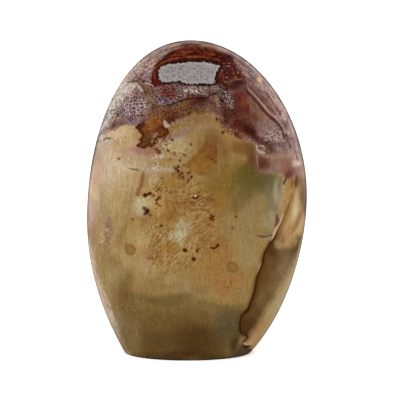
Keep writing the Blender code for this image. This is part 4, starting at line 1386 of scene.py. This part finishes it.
colour = patched(
    colour, paint(98, 40, 16), "rust_wedge",
    [(-16.4, 81.6), (-15.4, 81.9), (-14.4, 81), (-14.9, 80.1), (-15.4, 80), (-15.8, 80.8)],
    edge=0.9, grow=0.2, fray=0.3, most=0.9,
)


# Small pits and dots of iron pepper the body, and a few round orange spots lie under the polish.
orange_spots = patch(
    "orange_spots",
    [(-28.3, 43.8), (-26.6, 43.8), (-25, 42.8), (-24.5, 41.4), (-25.4, 39.8), (-27.6, 39.8), (-28.6, 41.6)],
    [(12, 36), (14, 36.8), (16.2, 35.6), (16.6, 34), (15, 32.8), (12.6, 33)],
)
colour = over(colour, paint(136, 92, 44), cover(orange_spots, 1.8, fray=0.4, most=0.62))
orange_rim = maths("MULTIPLY", step(orange_spots, -1.2, -0.2), step(orange_spots, 0.5, -0.2, 0.4))
colour = over(colour, paint(112, 68, 26), orange_rim)
colour = spotted(
    colour, paint(136, 92, 50), "stain",
    (-6.7, 33.8, 1.0), (6, 54.3, 1.2), (-4.5, 59.9, 0.8), (3.1, 47.2, 0.6), (9.6, 46.3, 1.2),
    (-6.4, 71, 1.6), (-8, 74, 1.2), (-3.4, 71.4, 1.2),
    edge=1.6, fray=0.8, most=0.5,
)


def pitted(colour, pits):
    """A colour with pits in it, dark with a rust-brown halo, and the share of the skin that the pits take."""
    colour = over(colour, paint(130, 78, 28), cover(pits, 0.9, 0.45, fray=0.4, most=0.65))
    share = cover(pits, 0.5, 0.08, fray=0.2)
    return over(colour, paint(50, 13, 0), maths("MULTIPLY", share, 0.94)), share


pits = dots(
    "pits",
    (-20.8, 63.5, 0.75), (-20.2, 63.7, 0.5), (-19.1, 64.2, 0.55), (-18.5, 64, 0.4), (-17.4, 63.4, 0.36),
    (-14.9, 62.9, 0.34), (-15.5, 62.3, 0.34), (-16.2, 61.4, 0.4), (-16.1, 60.3, 0.4), (-15.1, 59.6, 0.2),
    (-21, 58.3, 0.42), (-20, 57.2, 0.8), (-19.6, 56.4, 0.4), (-20.7, 56.1, 0.5), (-18.7, 55.6, 0.32),
    (-25.8, 53.8, 0.24), (-14.3, 51.3, 0.36), (-15.4, 45.4, 0.32), (-5.1, 41.5, 0.66), (-4.4, 41.3, 0.55),
    (0.1, 41.3, 0.55), (0.7, 42.2, 0.24), (-1.3, 38, 0.66), (8.3, 43.5, 0.46), (5.4, 54.2, 0.44),
    (6.3, 53.6, 0.46), (6.5, 55, 0.4), (5.6, 55.4, 0.3), (4.6, 56.9, 0.28), (15.7, 54.9, 0.32),
    (14.2, 50.3, 0.36), (7.9, 93.8, 0.42), (10.2, 88.6, 0.46), (-2.4, 83.9, 0.32), (-11.5, 81.2, 0.36),
    (-12, 81.8, 0.22), (-9.9, 85.6, 0.4), (-13.2, 85.9, 0.34), (-12.4, 85, 0.24), (-8.4, 74.1, 0.34),
    (-7.6, 73.1, 0.52), (-7.4, 75, 0.42), (-9.2, 74.7, 0.24), (-6.4, 72.5, 0.32), (-5.9, 72.3, 0.32),
    (-3.8, 72.5, 0.36), (-3, 72.6, 0.36), (-2.1, 70.9, 0.36), (-2.2, 70.3, 0.26), (-5.7, 70.9, 0.28),
    (-5.3, 70.2, 0.28), (-7.2, 70.6, 0.24), (-7.2, 71.6, 0.2), (-6.5, 71.4, 0.2), (-3.4, 69.6, 0.3),
    (-3.7, 68.8, 0.24), (-9.6, 71.9, 0.2), (-14.2, 70.2, 0.24), (-15.2, 66.2, 0.24), (-6.8, 77.4, 0.3),
    (-5.4, 75.6, 0.24), (-5, 79.6, 0.26), (-8.9, 80.2, 0.2), (-10.9, 77.9, 0.18), (-4.6, 81.4, 0.14),
    (-10.8, 64.6, 0.2), (0.8, 64.6, 0.22), (-5.5, 64.8, 0.24), (1.4, 72.2, 0.16), (0.9, 68.4, 0.16),
    (7.6, 80.8, 0.3), (7.4, 77, 0.3), (5.9, 77.9, 0.25), (-31.3, 78.1, 0.28), (-21.5, 109, 0.4),
    (-21.5, 107.3, 0.35), (-18.5, 107, 0.35), (-22, 95.4, 0.4), (-17.2, 84.2, 0.45), (-18.4, 83.2, 0.5),
    (-13.2, 87.7, 0.5), (-16.6, 86.1, 0.35), (-22.6, 83.2, 0.4), (-12.9, 89.1, 0.35),
)
colour, pit_share = pitted(colour, pits)
colour = spotted(
    colour, paint(198, 160, 128), "cluster_glints",
    (-5, 70.7, 0.3), (-3.9, 71, 0.26), (-2.4, 69.4, 0.32), (-6.7, 74, 0.3), (-8.4, 73, 0.24),
    (-6.8, 75.9, 0.24), (-8.3, 75.6, 0.2), (-2.4, 71.9, 0.2), (-4.4, 69.6, 0.2), (-15, 67.4, 0.24),
    (-16.6, 70.1, 0.4), (-13.8, 74.6, 0.3), (-5.1, 80.5, 0.24),
    edge=0.5, fray=0.2, most=0.65,
)
colour = lined(
    colour, paint(58, 28, 8), "short_cuts",
    [(5.3, 42.8), (6.3, 42.3), (7.4, 42.5), (8.3, 43.4)],
    [(-2, 62.9), (-1, 62.3), (0.6, 62.8)],
    width=0.9, edge=0.4, most=0.92,
)
# Painted highlights: small glints of light on the polish.
colour = spotted(
    colour, paint(236, 222, 190), "glints",
    (-0.7, 63.2, 0.45), (-14.6, 47.6, 0.3), (-25.4, 91, 0.4),
    edge=0.5, most=0.9,
)


# The back is the same jasper, with its own marks: a rust-brown vein with side branches, a small pocket of
# grey quartz in an iron-red and orange rim, a fan of brown strokes, pits, and dark and pale grains.
rear_fan = thickly("rear_fan", (14, 44, 11, 14, 1.0), (-14, 30, 9, 10, 0.7), on=REAR)
colour = grained(colour, steep, (0.62, 0.5, 0.36), (1.2, 1.26, 1.34), rear_fan)
rear_haze = thickly("rear_haze", (-14, 50, 9, 9, 0.5), (4, 26, 10, 5, 0.45), (24, 62, 7, 6, 0.4), on=REAR)
colour = over(colour, paint(190, 170, 126), rear_haze)
rear_rust = thickly("rear_rust", (10, 66, 9, 5, 0.5), (-24, 70, 6, 8, 0.5), (20, 34, 7, 7, 0.5), on=REAR)
colour = over(colour, paint(138, 88, 42), rear_rust)
rear_dark_grains = thickly(
    "rear_dark_grains",
    (10, 68, 8, 6, 1.0), (-10, 36, 6, 8, 0.9), (16, 42, 10, 10, 0.7), (-22, 56, 7, 8, 0.8),
    on=REAR,
)
colour = peppered(colour, paint(92, 42, 14), PINS, rear_dark_grains, 0.85)
rear_pale_grains = thickly(
    "rear_pale_grains",
    (4, 62, 8, 4, 0.9), (-16, 48, 7, 7, 0.8), (20, 52, 6, 6, 0.7),
    on=REAR,
)
colour = peppered(colour, paint(216, 198, 164), maths("SUBTRACT", 1.0, OTHER_PINS), rear_pale_grains, 0.65)
rear_pocket = patch(
    "rear_pocket",
    [(-6, 93), (-4.4, 94.8), (-1, 95.4), (3, 96.6), (6.6, 96.2), (8.6, 94.4), (8, 92.4), (5, 91.4),
     (1, 91.2), (-2, 90.4), (-5, 91)],
    on=REAR,
)
colour = over(colour, iron_ground, cover(rear_pocket, 2.6, 3.4, wander=1.4, fray=1.6, most=0.85))
rear_rim = cover(rear_pocket, 0.7, 1.9, wander=0.8, fray=0.6)
colour = over(colour, orange, maths("MULTIPLY", rear_rim, step(rear_pocket, 1.0, 1.5, 0.8)))
rear_pocket = maths("ADD", rear_pocket, spikes)
colour = over(colour, paint(34, 12, 6), cover(rear_pocket, 0.5, 0.7, fray=0.4, most=0.92))
colour = over(colour, quartz, cover(rear_pocket, 0.4))
rear_vein = line(
    "rear_vein",
    [(-33, 62), (-28, 58.6), (-23, 57), (-17, 52), (-12, 49.4), (-6, 43), (0, 40), (5, 34), (12, 30.6),
     (17, 24), (21, 13), (22, 4)],
    [(-12, 49.4), (-9, 53), (-3, 56.4), (1, 61), (7, 64), (12, 70)],
    [(5, 34), (2, 28), (2.6, 22), (-1, 15)],
    on=REAR,
)
colour = over(colour, paint(120, 74, 30), along(rear_vein, 2.6, 2.0, fray=1.0, most=0.6))
rear_vein_share = maths("MULTIPLY", along(rear_vein, 0.7, 0.6, fray=0.5, most=0.92), step(MOTTLE, 0.36, 0.5))
colour = over(colour, paint(62, 30, 8), rear_vein_share)
rear_pits = dots(
    "rear_pits",
    (9, 67, 0.8), (10.4, 66.4, 0.5), (11.4, 69, 0.5), (7.4, 69.6, 0.4), (13, 66.6, 0.3), (-9, 37, 0.7),
    (-10.6, 35.4, 0.4), (-7.8, 34.6, 0.3), (15, 49, 0.6), (16.4, 50, 0.35), (22, 44, 0.4), (-22, 62, 0.4),
    (-20.4, 60, 0.3), (-26, 46, 0.5), (2, 50, 0.35), (26, 58, 0.5), (-4, 73, 0.5), (-2.6, 72, 0.3),
    (18, 22, 0.5), (-15, 21, 0.4), (4, 79, 0.4), (-14, 66, 0.35),
    on=REAR,
)
colour, _ = pitted(colour, rear_pits)
colour = spotted(
    colour, paint(136, 92, 44), "rear_ring",
    (-20, 76, 2.2), (26, 30, 1.8),
    on=REAR, edge=1.8, fray=0.4, most=0.6,
)


# The colours were judged on a lit stone, so they are freed from the light's fall towards the foot and round
# the sides. The gloss varies a little and is duller on the porous wedge. Pits, the vein and the body's cracks
# are sunk a little into the polish.
# The first stop darkens the foot's bevel, as painted shade along the foot.
LIGHT_AT_HEIGHT = [(0.0, 1.4), (0.006, 0.64), (0.16, 0.77), (0.4, 0.95), (0.6, 1.06), (0.7, 1.16),
                   (0.8, 1.33), (0.9, 1.5), (1.0, 1.7)]
PIT_DEPTH = 0.06
VEIN_DEPTH = 0.12
CRACK_DEPTH = 0.2
WAVE_HEIGHT = 0.25
GRIT_HEIGHT = 0.012

normals = np.empty(3 * len(points), np.float32)
mesh.vertex_normals.foreach_get("vector", normals)
normals = normals.reshape(-1, 3)
# A point's turn is 0 where it faces the front and 1 on the outline and behind. The light lost by it is most
# at the foot, and the right side loses a little more.
turned = (1 + normals[:, 1]).clip(0, 1)
light_loss = 1 - (0.56 - 0.4 * points[:, 2] / HEIGHT) * turned**1.5 - 0.16 * normals[:, 0].clip(0)
light_fall = stained(keep("height", points[:, 2] / HEIGHT), *((z, (e, e, e, 1)) for z, e in LIGHT_AT_HEIGHT))
colour = over(colour, light_fall, 1.0, "DIVIDE")
colour = over(colour, keep("light_loss", np.repeat(light_loss[:, None], 3, 1)), 1.0, "DIVIDE")
links.new(colour, shader.inputs["Base Color"])
roughness = maths("MULTIPLY_ADD", noise(4.0, 4, 0.6), 0.1, 0.08)
roughness = maths("MULTIPLY_ADD", wedge_share, 0.15, roughness)
links.new(roughness, shader.inputs["Roughness"])
shader.inputs["IOR"].default_value = 1.54
relief = nodes.new("ShaderNodeBump")
relief.inputs["Distance"].default_value = MM
height = maths("MULTIPLY", pit_share, -PIT_DEPTH)
height = maths("MULTIPLY_ADD", vein_share, -VEIN_DEPTH, height)
height = maths("MULTIPLY_ADD", crack_share, -CRACK_DEPTH, height)
height = maths("MULTIPLY_ADD", rear_vein_share, -VEIN_DEPTH, height)
height = maths("MULTIPLY_ADD", noise(16.0, 2), WAVE_HEIGHT, height)
height = maths("MULTIPLY_ADD", GRIT, GRIT_HEIGHT, height)
links.new(height, relief.inputs["Height"])
links.new(relief.outputs[0], shader.inputs["Normal"])


# The studio has a pale floor, an even white sky and one large soft box above the front. The polish mirrors
# none of them, but a dim room with a pale wall round its far side, which lightens the stone's edges.
FLOOR = 8.0
floor_mesh = bpy.data.meshes.new("studio_floor")
floor_mesh.from_pydata([(-FLOOR, -FLOOR, 0), (FLOOR, -FLOOR, 0), (FLOOR, FLOOR, 0), (-FLOOR, FLOOR, 0)],
                       [], [(0, 1, 2, 3)])
floor = bpy.data.objects.new("studio_floor", floor_mesh)
bpy.context.scene.collection.objects.link(floor)
floor.visible_glossy = False
floor.visible_diffuse = False
pale = bpy.data.materials.new("pale_floor")
pale.use_nodes = True
pale_shader = pale.node_tree.nodes["Principled BSDF"]
pale_shader.inputs["Base Color"].default_value = (0.93, 0.93, 0.93, 1)
pale_shader.inputs["Roughness"].default_value = 0.9
pale_shader.inputs["Emission Color"].default_value = (1, 1, 1, 1)
pale_shader.inputs["Emission Strength"].default_value = 0.3
floor_mesh.materials.append(pale)

world = bpy.data.worlds.new("studio_sky")
bpy.context.scene.world = world
world.use_nodes = True
nodes, links = world.node_tree.nodes, world.node_tree.links
direction = nodes.new("ShaderNodeSeparateXYZ")
links.new(nodes.new("ShaderNodeTexCoord").outputs["Generated"], direction.inputs[0])
rays = nodes.new("ShaderNodeLightPath").outputs
sky = maths("ADD", step(direction.outputs["Z"], -0.2, 0.35, 1.12), 0.06)
off_wall = maths("ARCCOSINE", direction.outputs["Y"])
wall = maths("MULTIPLY", step(off_wall, 0.42, 0.75), step(off_wall, 1.35, 0.8, 0.85))
wall = maths("MULTIPLY", wall, step(direction.outputs["Z"], -0.4, 0.1))
room = maths("ADD", maths("ADD", wall, step(direction.outputs["Z"], -0.1, 0.7, 0.03)), 0.004)
dim = maths("MULTIPLY_ADD", rays["Is Glossy Ray"], maths("SUBTRACT", room, sky), sky)
seen = maths("MULTIPLY_ADD", rays["Is Camera Ray"], maths("SUBTRACT", 1.0, dim), dim)
links.new(seen, nodes["Background"].inputs["Strength"])
nodes["Background"].inputs["Color"].default_value = (1, 1, 1, 1)

BOX_SIZE = (1.1, 0.8)
BOX_PLACE = (-0.12, -0.95, 0.85)
BOX_AIM = (0, 0, 0.06)
BOX_WATTS = 9
lamp = bpy.data.lights.new("key_box", "AREA")
lamp.shape = "RECTANGLE"
lamp.size, lamp.size_y = BOX_SIZE
lamp.energy = BOX_WATTS
box = bpy.data.objects.new("key_box", lamp)
bpy.context.scene.collection.objects.link(box)
box.location = BOX_PLACE
box.rotation_euler = (Vector(BOX_AIM) - Vector(BOX_PLACE)).to_track_quat("-Z", "Y").to_euler()
box.visible_camera = False
box.visible_glossy = False

SENSOR_WIDTH = 36
PICTURE_WIDTH = 160.0
camera = bpy.data.objects.new("camera", bpy.data.cameras.new("camera"))
bpy.context.scene.collection.objects.link(camera)
camera.location = (EYE_AIM - EYE_DISTANCE * ahead) * MM
camera.rotation_euler = (np.pi / 2 - EYE_ELEVATION, 0, 0)
camera.data.sensor_width = SENSOR_WIDTH
camera.data.lens = SENSOR_WIDTH * EYE_DISTANCE / PICTURE_WIDTH
camera.data.clip_end = 30
bpy.context.scene.camera = camera
bpy.context.scene.view_settings.view_transform = "Standard"
